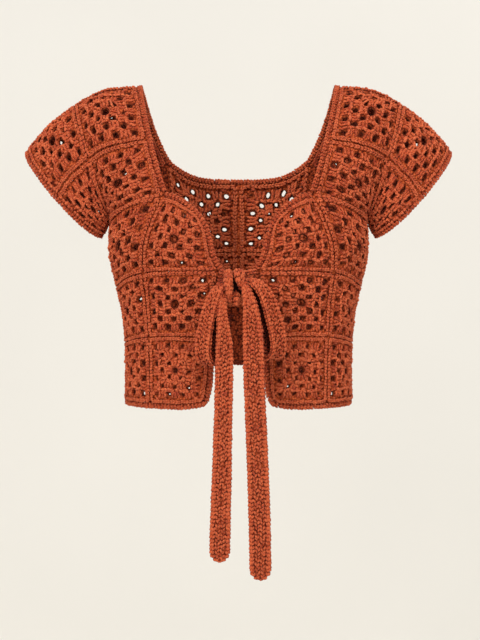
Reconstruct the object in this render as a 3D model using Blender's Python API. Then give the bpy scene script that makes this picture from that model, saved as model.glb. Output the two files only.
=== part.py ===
"""A cropped crochet top of granny squares, worn, open at the front and tied with a crochet bow.

Metres, +Z up. The wearer faces -Y and +X is the wearer's left. The origin lies in the middle of
the body, at the height of the shoulders' inner ends. Sizes below are in millimetres.

The garment is one hollow surface, the plain inside of the cloth. Each square is a wall raised
outwards from its own part of that surface, so neighbours share their seams. Everything is
worked out for the wearer's left side and mirrored.
"""

import math

import bmesh
import bpy
import numpy as np

MM = 0.001

# The stitches of a square, the rope worked round it, and the seams between squares.
WALL = 2.4
ROPE_WIDTH = 5.5
ROPE_RISE = 1.4
ROPE_EDGE_SHARE = 0.4
SEAM_GAP = 0.3
SQUARE_SIDE = 88.0

# Holes of a granny square that are cut through, as shares of half its side.
HOLE_PITCH = 0.48
GRID = (-1.0, -HOLE_PITCH, 0.0, HOLE_PITCH, 1.0)
CENTRE_HOLE = 5.6 / (SQUARE_SIDE / 2)
SMALL_HOLE = 3.8 / (SQUARE_SIDE / 2)

# Edges that are free and rounded, with twice as many points along them: top, outer, foot, inner.
ALL_PLAIN = (False, False, False, False)
ROUNDED_EDGES = {
    "front_%s_centre_3": (True, False, False, True),
    "front_%s_centre_5": (False, False, True, True),
    "back_%s_centre_3": (True, False, False, False),
}

# The edging worked on the free edges.
BAND_WIDTH = 6.0
BAND_THICK = 3.8
BAND_ROUNDING = 0.9
NECK_EDGING_SHORT = 9.1

# The straps of the tie.
STRAP_THICK = 3.4
STRAP_DISH = 0.5
STRAP_MIDDLE = 0.6
STRAP_EDGE = 0.7
STRAP_STEP = 15.0

# Sections of the body from the chest to the hem, at seam rows 2 to 5 and halfway between.
# front_x is where the front edge lies, front_seam_x and back_seam_x the seams between the
# centre and the side columns. The three heights are of the front, the side and the back, and
# back_flatness says how much of the back stays at the back's height.
BODY_COLUMNS = (
    "row", "half_width", "front_depth", "back_depth", "front_z", "side_z", "back_z",
    "front_x", "front_seam_x", "back_seam_x", "back_flatness",
)
BODY = (
    (1.5, 155.0, 84.0, 74.0, -107.0, -128.0, -46.0, 40.0, 62.0, 104.0, 5.0),
    (2.0, 158.0, 91.0, 77.0, -142.0, -168.0, -88.0, 36.0, 87.5, 94.0, 4.2),
    (2.5, 159.0, 95.0, 78.0, -189.0, -209.0, -155.0, 30.0, 107.5, 89.0, 4.6),
    (3.0, 150.5, 93.0, 76.0, -229.0, -252.0, -210.0, 23.0, 113.0, 86.0, 4.2),
    (3.5, 143.0, 87.5, 73.0, -269.0, -287.0, -246.0, 32.0, 110.0, 83.0, 3.7),
    (4.0, 140.0, 84.0, 72.0, -309.0, -322.0, -282.0, 35.0, 107.5, 81.0, 3.2),
    (4.5, 139.5, 83.0, 72.0, -351.0, -358.0, -318.0, 36.0, 106.5, 81.0, 2.8),
    (5.0, 140.5, 83.0, 73.0, -392.0, -394.0, -354.0, 37.0, 106.0, 82.0, 2.5),
)
SECTION_POWER = 0.87
FRONT_FLATNESS = 6

# How far the bust stands out of those sections, where, and over what spread.
BUST_RISE = 6.0
BUST_ANGLE = 33.0
BUST_ROW = 2.55
BUST_SPREAD_ANGLE = 20.0
BUST_SPREAD_ROW = 0.45
BUST_SIDEWAYS = 0.3

# Lines from the shoulder ridge down the yoke and the sleeve, from the neck outwards.
# top and foot are their ends on the ridge and at row 2; a foot of None lies on the body.
# bulge is how far the middle stands forward or back, bow how far it stands out sideways,
# and round is 1 where the line is half an oval and 0 where it runs down evenly.
YOKE_COLUMNS = (
    "top_x", "top_z", "foot_x", "foot_z", "front_bulge", "back_bulge", "front_bow", "back_bow", "round",
)
YOKE = (
    (126.5, -3.5, None, None, 0.0, 0.0, 2.2, 4.4, 0.0),
    (168.0, -9.5, None, None, 20.0, 18.0, 0.0, 0.0, 0.5),
    (203.0, -28.0, 162.8, -161.0, 40.0, 38.0, 0.0, 0.0, 1.0),
    (235.0, -52.5, 167.5, -172.0, 42.0, 38.0, 4.0, 4.0, 1.0),
    (260.5, -80.5, 172.5, -184.0, 37.0, 34.0, 8.0, 8.0, 1.0),
)
RIDGE_POWER = 0.62

# Six squares meet in a fold under the arm, where the cloth is pressed thin and the seams part.
UNDERARM = np.array((160.0, 0.0, -163.0))
UNDERARM_SPREAD = 36.0
UNDERARM_THINNING = 0.7
UNDERARM_GAP = 4

SEAM_EASE = 9
ARMHOLE_LINE = 2

# The free edge of the bust square, as points of x and row: its top, and round the corner and
# down to the tie.
BUST_TOP = ((87.5, 2.0), (78.0, 2.03), (68.0, 2.085), (57.0, 2.17), (47.5, 2.27))
BUST_SIDE = ((47.5, 2.27), (40.8, 2.39), (37.0, 2.52), (34.5, 2.68), (30.0, 2.86), (23.0, 3.0))

# How far the back neck dips at the centre, in rows, and how the hem corner is rounded.
BACK_NECK_DIP = 0.245
BACK_NECK_POWER = 3.6
HEM_CORNER = 0.06

# The tie. Each row is x, y, z of a strap's middle line, the strap's width there and the way its
# width runs, in degrees in plan from +X towards -Y (a strap at 0 faces forward).
LEFT_LOOP = (
    (2.0, -108.0, -238.5, 12.0, -40.0),
    (10.0, -112.5, -239.7, 14.0, -44.0),
    (20.6, -117.0, -243.5, 18.0, -45.0),
    (30.0, -119.0, -253.5, 21.0, -45.0),
    (37.0, -119.0, -269.0, 22.5, -45.0),
    (42.0, -119.0, -287.0, 23.5, -45.0),
    (46.4, -118.0, -307.5, 23.5, -45.0),
    (47.0, -116.5, -321.0, 23.5, -45.0),
    (43.5, -113.5, -329.0, 23.5, -45.0),
    (38.0, -109.5, -330.0, 23.5, -45.0),
    (34.5, -107.5, -322.0, 23.5, -45.0),
    (33.0, -107.0, -306.0, 23.5, -45.0),
    (31.0, -107.0, -288.0, 22.0, -45.0),
    (27.0, -106.5, -270.0, 20.0, -42.0),
    (19.0, -105.5, -256.0, 17.0, -36.0),
    (9.0, -105.0, -248.0, 15.0, -25.0),
    (2.0, -105.0, -245.0, 15.0, -20.0),
)
RIGHT_LOOP = (
    (-12.0, -108.0, -238.0, 13.0, 40.0),
    (-20.0, -112.5, -246.5, 14.0, 44.0),
    (-26.5, -117.0, -256.0, 18.0, 45.0),
    (-32.0, -119.0, -270.0, 21.0, 45.0),
    (-37.3, -119.0, -289.0, 22.5, 45.0),
    (-40.8, -118.0, -310.0, 23.5, 45.0),
    (-41.5, -117.0, -326.0, 23.5, 45.0),
    (-38.0, -114.0, -336.5, 23.5, 45.0),
    (-32.5, -110.0, -337.0, 23.5, 45.0),
    (-29.5, -107.5, -328.0, 23.5, 45.0),
    (-28.5, -107.0, -308.0, 23.5, 45.0),
    (-27.0, -107.0, -287.0, 22.0, 45.0),
    (-24.0, -106.5, -270.0, 20.0, 42.0),
    (-18.0, -105.5, -255.0, 17.0, 36.0),
    (-9.0, -105.0, -246.0, 15.0, 25.0),
)
LEFT_END = (
    (-1.0, -119.0, -236.0, 10.0, 25.0),
    (6.0, -124.5, -240.5, 11.5, 25.0),
    (11.5, -128.5, -253.0, 15.5, 25.0),
    (14.5, -129.0, -269.0, 19.5, 24.0),
    (16.5, -128.5, -292.0, 23.0, 22.0),
    (17.5, -127.5, -315.0, 23.5, 14.0),
    (18.5, -126.5, -360.0, 23.5, 8.0),
    (21.9, -125.0, -439.0, 24.0, 4.0),
    (24.9, -124.0, -522.0, 24.5, 2.0),
    (26.2, -123.0, -595.0, 24.5, 0.0),
)
RIGHT_END = (
    (-10.0, -118.0, -243.0, 9.0, -30.0),
    (-14.0, -124.5, -254.0, 11.0, -32.0),
    (-16.5, -127.5, -268.0, 14.5, -36.0),
    (-17.2, -128.5, -283.0, 18.5, -38.0),
    (-16.5, -128.0, -300.0, 22.0, -32.0),
    (-16.0, -127.0, -327.0, 23.5, -18.0),
    (-17.5, -125.5, -404.0, 23.5, -8.0),
    (-19.5, -124.0, -475.0, 24.0, -4.0),
    (-21.2, -123.5, -522.0, 24.5, -2.0),
    (-22.4, -123.0, -573.0, 24.5, 0.0),
)
LEFT_ROOT = (
    (20.8, -101.2, -229.8, 8.4, 90.0),
    (11.5, -103.5, -231.6, 9.0, 90.0),
    (3.0, -106.5, -232.8, 9.0, 90.0),
)
RIGHT_ROOT = (
    (-21.0, -100.9, -229.8, 8.4, 90.0),
    (-15.5, -103.6, -231.6, 9.0, 90.0),
    (-10.0, -107.0, -235.0, 9.0, 90.0),
)
ROOT_THICK = 4.4
END_ROUNDING = (1.0, 0.93, 0.7, 0.36)

# The knot is a lump drawn in round its middle, with the end of the crossing strap below it.
KNOT_CENTRE = (-5.5, -111.0, -238.5)
KNOT_RADII = (13.5, 11.5, 11.0)
KNOT_WAIST = 0.12
KNOT_TONGUE = (1.5, -112.5, -252.0)
KNOT_TONGUE_RADII = (6.0, 6.5, 11.0)

YARN_COLOUR = (0.46, 0.105, 0.035, 1.0)
SHARP_ANGLE = 40

# The least length between two cross sections of an edging or a strap.
LEAST_STEP = 1.0


# ---- Small tools ----


def unit(vector):
    """The vector at length 1."""
    return vector / np.linalg.norm(vector)


def curve_through(rows, at):
    """A smooth curve through evenly counted rows, read at a place counted in rows."""
    rows = np.asarray(rows, float)
    last = len(rows) - 1
    i = int(min(max(math.floor(at), 0), last - 1))
    t = at - i
    before = rows[i - 1] if i > 0 else 2 * rows[0] - rows[1]
    after = rows[i + 2] if i + 2 <= last else 2 * rows[last] - rows[last - 1]
    a, b = rows[i], rows[i + 1]
    return 0.5 * (
        2 * a
        + (b - before) * t
        + (2 * before - 5 * a + 4 * b - after) * t**2
        + (3 * a - before - 3 * b + after) * t**3
    )


def yarn_material():
    """Matt rust-coloured cotton."""
    material = bpy.data.materials.new("rust_cotton_yarn")
    material.use_nodes = True
    shader = material.node_tree.nodes["Principled BSDF"]
    shader.inputs["Base Color"].default_value = YARN_COLOUR
    shader.inputs["Roughness"].default_value = 0.9
    shader.inputs["Metallic"].default_value = 0.0
    material.diffuse_color = YARN_COLOUR
    return material


def add_solid(name, points, faces, material, mirrored=False):
    """One closed mesh object from points in mm, mirrored in X where asked."""
    mesh = bpy.data.meshes.new(name)
    side = -1.0 if mirrored else 1.0
    mesh.from_pydata([(side * x * MM, y * MM, z * MM) for x, y, z in points], [], faces)
    work = bmesh.new()
    work.from_mesh(mesh)
    bmesh.ops.triangulate(work, faces=work.faces)
    if work.calc_volume(signed=True) < 0:
        bmesh.ops.reverse_faces(work, faces=work.faces)
    work.to_mesh(mesh)
    work.free()
    mesh.shade_smooth()
    mesh.set_sharp_from_angle(angle=math.radians(SHARP_ANGLE))
    mesh.materials.append(material)
    thing = bpy.data.objects.new(name, mesh)
    bpy.context.scene.collection.objects.link(thing)
    return thing


# ---- The surface of the garment ----


def body_value(column, row):
    """One column of the body's table at a place between its rows."""
    index = BODY_COLUMNS.index(column)
    first_row = BODY[0][0]
    return float(curve_through([section[index] for section in BODY], 2 * (row - first_row)))


def angle_at(x, row):
    """The angle from the front centre, in degrees, at which the front half reaches x."""
    share = min(max(x / body_value("half_width", row), 0.0), 1.0)
    return math.degrees(math.asin(share ** (1 / SECTION_POWER)))


def body_point(angle, row):
    """A point of the body: a soft oval in plan, with its height eased from front to side to back."""
    sine = math.sin(math.radians(angle))
    cosine = math.cos(math.radians(angle))
    front = cosine > 0
    depth = body_value("front_depth" if front else "back_depth", row)
    centre_z = body_value("front_z" if front else "back_z", row)
    side_z = body_value("side_z", row)
    flatness = FRONT_FLATNESS if front else body_value("back_flatness", row)
    x = body_value("half_width", row) * math.copysign(abs(sine) ** SECTION_POWER, sine)
    y = -depth * math.copysign(abs(cosine) ** SECTION_POWER, cosine)
    z = side_z + (centre_z - side_z) * (1 - abs(sine) ** flatness)
    bust = BUST_RISE * math.exp(
        -(((angle - BUST_ANGLE) / BUST_SPREAD_ANGLE) ** 2) - ((row - BUST_ROW) / BUST_SPREAD_ROW) ** 2
    )
    return np.array((x + BUST_SIDEWAYS * bust, y - bust, z))


def seam_angle(seam, row):
    """The angle of a column seam: front edge, front seam, side, back seam or back centre."""
    if seam == "side":
        return 90.0
    if seam == "back_centre":
        return 180.0
    if seam == "back_seam":
        return 180.0 - angle_at(body_value("back_seam_x", row), row)
    return angle_at(body_value("front_x" if seam == "front_edge" else "front_seam_x", row), row)


def foot_angle(share, back):
    """The angle at which a yoke line meets row 2, from 0 at the neck to 1 at the side."""
    inner = seam_angle("back_seam" if back else "front_seam", 2.0)
    return (1 - share) * inner + share * 90.0


def yoke_line(index, down, back):
    """A point of one yoke line, down from 0 at the ridge to 1 at row 2, on the front or the back.

    Past either end the line goes on over the other face.
    """
    if down < 0 or down > 1:
        return yoke_line(index, -down if down < 0 else 2 - down, not back)
    row = dict(zip(YOKE_COLUMNS, YOKE[index]))
    facing = 1.0 if back else -1.0
    top = np.array((row["top_x"], 0.0, row["top_z"]))
    if row["foot_x"] is None:
        foot = body_point(foot_angle(index / ARMHOLE_LINE, back), 2.0)
    else:
        foot = np.array((row["foot_x"], 0.0, row["foot_z"]))
    along = row["round"] * (1 - math.cos(math.pi * down)) / 2 + (1 - row["round"]) * down
    point = top + (foot - top) * along
    quarter = math.sin(math.pi * down / 2) ** RIDGE_POWER
    half = math.sin(math.pi * down)
    bulge = row["back_bulge" if back else "front_bulge"]
    bow = row["back_bow" if back else "front_bow"]
    span = unit(foot - top)
    outwards = unit(np.array((-span[2], 0.0, span[0])))
    point[1] = foot[1] * quarter + facing * bulge * half
    return point + outwards * bow * half


def yoke_point(across, down, back):
    """The yoke and sleeve, across from 0 at the neck to 4 at the sleeve's end.

    At the ridge the sleeve carries on from the shoulder. Under the arm it turns off on its own.
    """
    lines = [yoke_line(index, down, back) for index in range(len(YOKE))]
    if across > ARMHOLE_LINE:
        own = down**2
        straight_on = 2 * lines[ARMHOLE_LINE] - lines[ARMHOLE_LINE + 1]
        lines[ARMHOLE_LINE - 1] = (1 - own) * lines[ARMHOLE_LINE - 1] + own * straight_on
    return curve_through(lines, across)


def shoulder_point(across, down, back):
    """The yoke within the shoulder squares, which ends exactly on the body's row 2."""
    angle = foot_angle(across / ARMHOLE_LINE, back)
    if down > 1:
        return body_point(angle, 2 * down)
    point = yoke_point(across, down, back)
    miss = body_point(angle, 2.0) - yoke_point(across, 1.0, back)
    return point + miss * max(0.0, 2 * down - 1) ** SEAM_EASE


def torso_point(angle, row):
    """The body, carried on above row 2 by the shoulder squares."""
    if row >= 2:
        return body_point(angle, row)
    back = angle > 90
    inner, side = foot_angle(0.0, back), foot_angle(1.0, back)
    return shoulder_point(ARMHOLE_LINE * (angle - inner) / (side - inner), row / 2, back)


def body_panel(first_seam, second_seam, row):
    """A square between two column seams, hanging from one seam row to the next."""

    def point(u, v):
        at = row + v
        first, second = seam_angle(first_seam, at), seam_angle(second_seam, at)
        angle = first + (second - first) * u
        return torso_point(angle, at) if "side" in (first_seam, second_seam) else body_point(angle, at)

    return point


def bust_panel(u, v):
    """The bust square: three sewn edges, and a free edge that rounds its upper front corner."""
    top = curve_through(BUST_TOP, (len(BUST_TOP) - 1) * (1 - u))
    side = curve_through(BUST_SIDE, (len(BUST_SIDE) - 1) * v)
    corner = np.array(BUST_TOP[-1])
    seam_row = 2 + v + (BUST_TOP[0][1] - 2) * (1 - v)
    seam = np.array((body_value("front_seam_x", seam_row), seam_row))
    seam_top = np.array(BUST_TOP[0])
    foot_turn = (1 - u) * seam_angle("front_edge", 3.0) + u * seam_angle("front_seam", 3.0)
    foot = np.array((body_value("half_width", 3.0) * math.sin(math.radians(foot_turn)) ** SECTION_POWER, 3.0))
    foot_front = np.array(BUST_SIDE[-1])
    foot_seam = np.array((body_value("front_seam_x", 3.0), 3.0))
    blend = (
        (1 - u) * side + u * seam + (1 - v) * top + v * foot
        - (1 - u) * (1 - v) * corner - u * (1 - v) * seam_top
        - (1 - u) * v * foot_front - u * v * foot_seam
    )
    return body_point(angle_at(blend[0], blend[1]), blend[1])


def back_neck_panel(u, v):
    """The top centre square of the back, whose free edge dips towards the centre."""
    dip = BACK_NECK_DIP * (1 - max(0.0, 1 - u) ** BACK_NECK_POWER)
    at = 2 + dip * (1 - v) + v
    first = seam_angle("back_seam", at)
    return body_point(first + (180.0 - first) * u, at)


def front_hem_panel(u, v):
    """The lowest centre square of the front, with its free corner drawn in."""
    draw = HEM_CORNER * max(0.0, 1 - u / 0.5) ** 2 * max(0.0, 2 * v - 1) ** 2
    at = 4 + v - draw
    first, second = seam_angle("front_edge", at), seam_angle("front_seam", at)
    return body_point(first + (second - first) * (u + draw * (1 - u)), at)


def yoke_panel(first_line, row, back):
    """A shoulder or sleeve square. On the back it runs the other way, so that it faces out."""

    def point(u, v):
        across = first_line + 2 * (1 - u if back else u)
        down = (row - 1 + v) / 2
        if first_line == 0:
            return shoulder_point(across, down, back)
        return yoke_point(across, down, back)

    return point


def squares():
    """(name, surface, number of holes) of every square of the wearer's left side.

    u runs from the front centre outwards round to the back centre, and v runs down.
    """
    found = []
    for face, back in (("front", False), ("back", True)):
        for row in (1, 2):
            found.append((f"{face}_%s_shoulder_{row}", yoke_panel(0, row, back), 5))
            found.append((f"{face}_%s_sleeve_{row}", yoke_panel(ARMHOLE_LINE, row, back), 5))
    for row in (3, 4, 5):
        seam_row = row - 1
        centre = body_panel("front_edge", "front_seam", seam_row)
        if row == 3:
            centre = bust_panel
        if row == 5:
            centre = front_hem_panel
        back_centre = body_panel("back_seam", "back_centre", seam_row)
        if row == 3:
            back_centre = back_neck_panel
        found.append((f"front_%s_centre_{row}", centre, 9))
        found.append((f"front_%s_side_{row}", body_panel("front_seam", "side", seam_row), 9))
        found.append((f"back_%s_side_{row}", body_panel("side", "back_seam", seam_row), 9))
        found.append((f"back_%s_centre_{row}", back_centre, 9))
    return found


def frame_at(surface, u, v):
    """Point, the two directions along the surface, and the way out of it."""
    step = 0.02
    along_u = unit(surface(u + step, v) - surface(u - step, v))
    along_v = unit(surface(u, v + step) - surface(u, v - step))
    return surface(u, v), along_u, along_v, unit(np.cross(along_v, along_u))


# ---- Granny squares ----


def underarm_nearness(point):
    """1 in the fold under the arm, falling to 0 away from it."""
    return math.exp(-((np.linalg.norm(point - UNDERARM) / UNDERARM_SPREAD) ** 2))


def inset_frame(surface, u, v):
    """The frame, its point drawn in by half a seam's gap where it lies on the square's edge."""
    point, along_u, along_v, out = frame_at(surface, u, v)
    inwards = {0.0: 1.0, 1.0: -1.0}
    inset = SEAM_GAP / 2 * (1 + UNDERARM_GAP * underarm_nearness(point))
    point = point + along_u * inwards.get(u, 0.0) * inset
    point = point + along_v * inwards.get(v, 0.0) * inset
    return point, out


class SquareMesh:
    """Points and faces of one square, held in shares of half its side from its centre."""

    def __init__(self, surface):
        self.surface = surface
        self.points = []
        self.faces = []
        self.known = {}

    def vertex(self, a, b, height):
        """The index of a point at (a, b) of the square, raised this far out of the surface."""
        key = (round(a, 5), round(b, 5), height)
        if key not in self.known:
            point, out = inset_frame(self.surface, (a + 1) / 2, (b + 1) / 2)
            thinned = 1 - UNDERARM_THINNING * underarm_nearness(point)
            self.known[key] = len(self.points)
            self.points.append(point + out * height * thinned)
        return self.known[key]


def hole_size(i, j, holes):
    """Half the diagonal of the hole at a grid crossing, or 0 where it has none."""
    if (i, j) == (2, 2):
        return CENTRE_HOLE
    inside = i in (1, 2, 3) and j in (1, 2, 3)
    diagonal = i != 2 and j != 2
    return SMALL_HOLE if inside and (holes == 9 or diagonal) else 0.0


def border_steps(fine):
    """Places along one edge of a square, in shares of half its side: the grid, or twice as many."""
    if not fine:
        return GRID
    middles = [(a + b) / 2 for a, b in zip(GRID, GRID[1:])]
    return tuple(sorted(GRID + tuple(middles)))


def field_faces(square, edge, height, holes, rounded, facing_out):
    """The stitches of one face: a 4 by 4 grid with diamond holes at its crossings."""
    # Corners of a cell in turn: which crossing, then the two hole points that stand in for it.
    turns = (
        ((0, 0), (0, 1), (1, 0)),
        ((1, 0), (-1, 0), (0, 1)),
        ((1, 1), (0, -1), (-1, 0)),
        ((0, 1), (1, 0), (0, -1)),
    )
    for i in range(4):
        for j in range(4):
            face = []
            top, outer, foot, inner = rounded
            middles = (
                ((GRID[i] + GRID[i + 1]) / 2, -1.0, top and j == 0),
                (1.0, (GRID[j] + GRID[j + 1]) / 2, outer and i == 3),
                ((GRID[i] + GRID[i + 1]) / 2, 1.0, foot and j == 3),
                (-1.0, (GRID[j] + GRID[j + 1]) / 2, inner and i == 0),
            )
            for ((di, dj), first, second), (middle_a, middle_b, extra) in zip(turns, middles):
                a, b = GRID[i + di], GRID[j + dj]
                size = hole_size(i + di, j + dj, holes)
                if size:
                    for x, y in (first, second):
                        face.append(square.vertex(a + size * x, b + size * y, height))
                else:
                    face.append(square.vertex(within(a, edge), within(b, edge), height))
                if extra:
                    face.append(square.vertex(within(middle_a, edge), within(middle_b, edge), height))
            square.faces.append(face[::-1] if facing_out else face)


def within(place, edge):
    """A place on the border drawn in to this share of half the side. Places inside it stay."""
    return max(-edge, min(edge, place))


def ring(edge, rounded):
    """The points round a square at this share of half its side, in turn."""
    top, outer, foot, inner = [[within(place, edge) for place in border_steps(fine)] for fine in rounded]
    points = [(a, -edge) for a in top[:-1]] + [(edge, b) for b in outer[:-1]]
    return points + [(a, edge) for a in foot[:0:-1]] + [(-edge, b) for b in inner[:0:-1]]


def square_solid(surface, holes, rounded):
    """A granny square as a wall with a rope round it, cut through at its largest holes."""
    square = SquareMesh(surface)
    rope_foot = 1 - 2 * ROPE_WIDTH / SQUARE_SIDE
    rope_crest = (1 + rope_foot) / 2
    field_faces(square, rope_foot, WALL, holes, rounded, True)
    field_faces(square, 1.0, 0.0, holes, rounded, False)
    loops = [(rope_foot, WALL), (rope_crest, WALL + ROPE_RISE), (1.0, WALL + ROPE_EDGE_SHARE * ROPE_RISE), (1.0, 0.0)]
    indices = []
    for edge, height in loops:
        indices.append([square.vertex(a, b, height) for a, b in ring(edge, rounded)])
    for inner, outer in zip(indices, indices[1:]):
        for k in range(len(inner)):
            n = (k + 1) % len(inner)
            square.faces.append([inner[k], outer[k], outer[n], inner[n]][::-1])
    for i in (1, 2, 3):
        for j in (1, 2, 3):
            size = hole_size(i, j, holes)
            if not size:
                continue
            corners = [(GRID[i] + size * x, GRID[j] + size * y) for x, y in ((1, 0), (0, 1), (-1, 0), (0, -1))]
            upper = [square.vertex(a, b, WALL) for a, b in corners]
            lower = [square.vertex(a, b, 0.0) for a, b in corners]
            for k in range(4):
                n = (k + 1) % 4
                square.faces.append([upper[k], upper[n], lower[n], lower[k]][::-1])
    return square.points, square.faces


# ---- Edgings ----


def edge_frames(surface, fine, start, end, side):
    """Frames along one edge of a square: point, way off the square, way out of the surface.

    start and end are the (u, v) ends of the edge. side names the direction that leads off it.
    """
    sign, axis = side
    frames = []
    for place in border_steps(fine):
        t = (place + 1) / 2
        u = start[0] + (end[0] - start[0]) * t
        v = start[1] + (end[1] - start[1]) * t
        point, along_u, along_v, out = frame_at(surface, u, v)
        along = along_u if axis == "v" else along_v
        off = unit(np.cross(out, along))
        if np.dot(off, sign * (along_v if axis == "v" else along_u)) < 0:
            off = -off
        frames.append((point, off, out))
    return frames


def turned_corner(first, second, steps=4):
    """Frames that sweep the edging round an outer corner between two edges."""
    swept = []
    for k in range(1, steps):
        t = k / steps
        point = first[0] + (second[0] - first[0]) * t
        swept.append((point, unit(first[1] * (1 - t) + second[1] * t), unit(first[2] + second[2])))
    return swept


def smooth_run(frames):
    """The same frames with each direction averaged with its neighbours."""
    smoothed = []
    for k, (point, off, out) in enumerate(frames):
        near = frames[max(k - 1, 0) : k + 2]
        off = unit(off + sum(f[1] for f in near))
        out = unit(out + sum(f[2] for f in near))
        smoothed.append((point, off, out))
    return smoothed


def trimmed(frames, length_start=0.0, length_end=0.0):
    """The frames with this much length cut from each end."""
    points = np.array([f[0] for f in frames])
    distance = np.concatenate([[0.0], np.cumsum(np.linalg.norm(np.diff(points, axis=0), axis=1))])
    low, high = length_start, distance[-1] - length_end

    def at(place):
        k = int(np.clip(np.searchsorted(distance, place) - 1, 0, len(frames) - 2))
        t = (place - distance[k]) / max(distance[k + 1] - distance[k], 1e-9)
        a, b = frames[k], frames[k + 1]
        return (a[0] + (b[0] - a[0]) * t, unit(a[1] + (b[1] - a[1]) * t), unit(a[2] + (b[2] - a[2]) * t))

    inner = [f for f, d in zip(frames, distance) if low + LEAST_STEP < d < high - LEAST_STEP]
    return [at(low)] + inner + [at(high)]


def band_profile():
    """The edging's section: off the edge and out of the surface, in mm."""
    near, far = SEAM_GAP / 2, SEAM_GAP / 2 + BAND_WIDTH
    shoulder = BAND_THICK - BAND_ROUNDING
    return ((near, 0.0), (near, shoulder), ((near + far) / 2, BAND_THICK), (far, shoulder), (far, 0.0))


def band_solid(frames):
    """An edging swept along its frames."""
    profile = band_profile()
    points = []
    for point, off, out in frames:
        points += [point + off * a + out * b for a, b in profile]
    width = len(profile)
    faces = []
    for k in range(len(frames) - 1):
        for m in range(width):
            n = (m + 1) % width
            faces.append([k * width + m, k * width + n, (k + 1) * width + n, (k + 1) * width + m])
    faces.append(list(range(width))[::-1])
    faces.append([(len(frames) - 1) * width + m for m in range(width)])
    return points, faces


def mirrored_frames(frames):
    """The same frames on the wearer's right, in the opposite order."""
    flip = np.array((-1.0, 1.0, 1.0))
    return [(point * flip, off * flip, out * flip) for point, off, out in frames[::-1]]


def on_middle(frame, axis, back_by=0.0):
    """The frame turned square to a middle plane (0 for x, 1 for y) that the run ends on.

    It is drawn back from the plane by this much, towards the side given by its sign.
    """
    keep = np.array([0.0 if k == axis else 1.0 for k in range(3)])
    point, off, out = frame
    point = point * keep
    point[axis] = back_by
    return point, unit(off * keep), unit(out * keep)


def joined(*runs):
    """Runs of frames one after the other, without the repeated frame where two meet."""
    frames = list(runs[0])
    for run in runs[1:]:
        frames += run[1:]
    return smooth_run(frames)


def edgings():
    """(name, frames, mirrored too) of every edging."""
    surfaces = {name: surface for name, surface, holes in squares()}

    def edge(name, start, end, side):
        lies = {(-1, "v"): 0, (1, "u"): 1, (1, "v"): 2, (-1, "u"): 3}[side]
        return edge_frames(surfaces[name], ROUNDED_EDGES.get(name, ALL_PLAIN)[lies], start, end, side)

    neck = joined(
        edge("front_%s_shoulder_1", (0, 0), (0, 1), (-1, "u")),
        edge("front_%s_shoulder_2", (0, 0), (0, 1), (-1, "u")),
    )
    bust = joined(
        edge("front_%s_centre_3", (1, 0), (0, 0), (-1, "v")),
        edge("front_%s_centre_3", (0, 0), (0, 1), (-1, "u")),
    )
    front = joined(
        edge("front_%s_centre_4", (0, 0), (0, 1), (-1, "u")),
        edge("front_%s_centre_5", (0, 0), (0, 1), (-1, "u")),
    )
    hem = joined(
        edge("front_%s_centre_5", (0, 1), (1, 1), (1, "v")),
        edge("front_%s_side_5", (0, 1), (1, 1), (1, "v")),
    )
    back_hem = joined(
        edge("back_%s_side_5", (0, 1), (1, 1), (1, "v")),
        edge("back_%s_centre_5", (0, 1), (1, 1), (1, "v")),
    )
    back_neck = joined(
        edge("back_%s_shoulder_1", (1, 0), (1, 1), (1, "u")),
        edge("back_%s_shoulder_2", (1, 0), (1, 1), (1, "u")),
        edge("back_%s_centre_3", (0, 0), (1, 0), (-1, "v")),
    )
    front_sleeve = joined(
        edge("front_%s_sleeve_1", (1, 0), (1, 1), (1, "u")),
        edge("front_%s_sleeve_2", (1, 0), (1, 1), (1, "u")),
    )
    back_sleeve = joined(
        edge("back_%s_sleeve_1", (0, 0), (0, 1), (-1, "u")),
        edge("back_%s_sleeve_2", (0, 0), (0, 1), (-1, "u")),
    )
    half = SEAM_GAP / 2
    up_the_neck = unit(neck[-2][0] - neck[-1][0])
    bust[0] = (bust[0][0], up_the_neck, bust[0][2])
    towards_tie = unit(bust[-1][1] + front[0][1]), unit(bust[-1][2] + front[0][2])
    bust[-1] = (bust[-1][0], *towards_tie)
    front[0] = (front[0][0], *towards_tie)
    neck[0] = on_middle(neck[0], 1, -half)
    back_neck[0] = on_middle(back_neck[0], 1, half)
    hem[-1] = on_middle(hem[-1], 1, -half)
    back_hem[0] = on_middle(back_hem[0], 1, half)
    for run, drawn_back in ((front_sleeve, -half), (back_sleeve, half)):
        run[0] = on_middle(run[0], 1, drawn_back)
        run[-1] = on_middle(run[-1], 1, drawn_back)
    front_hem = front + turned_corner(front[-1], hem[0]) + hem
    return [
        ("neck_edging_front_%s", trimmed(neck, 0.0, NECK_EDGING_SHORT), True),
        ("bust_edging_%s", trimmed(bust, half, half), True),
        ("front_hem_edging_%s", trimmed(front_hem, half, 0.0), True),
        ("sleeve_edging_front_%s", front_sleeve, True),
        ("sleeve_edging_back_%s", back_sleeve, True),
        ("hem_edging_back", whole_run(back_hem), False),
        ("neck_edging_back", whole_run(back_neck), False),
    ]


def whole_run(frames):
    """A run that ends on the back's middle, carried on over the wearer's right side."""
    return frames[:-1] + [on_middle(frames[-1], 0)] + mirrored_frames(frames[:-1])


# ---- The tie ----


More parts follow.
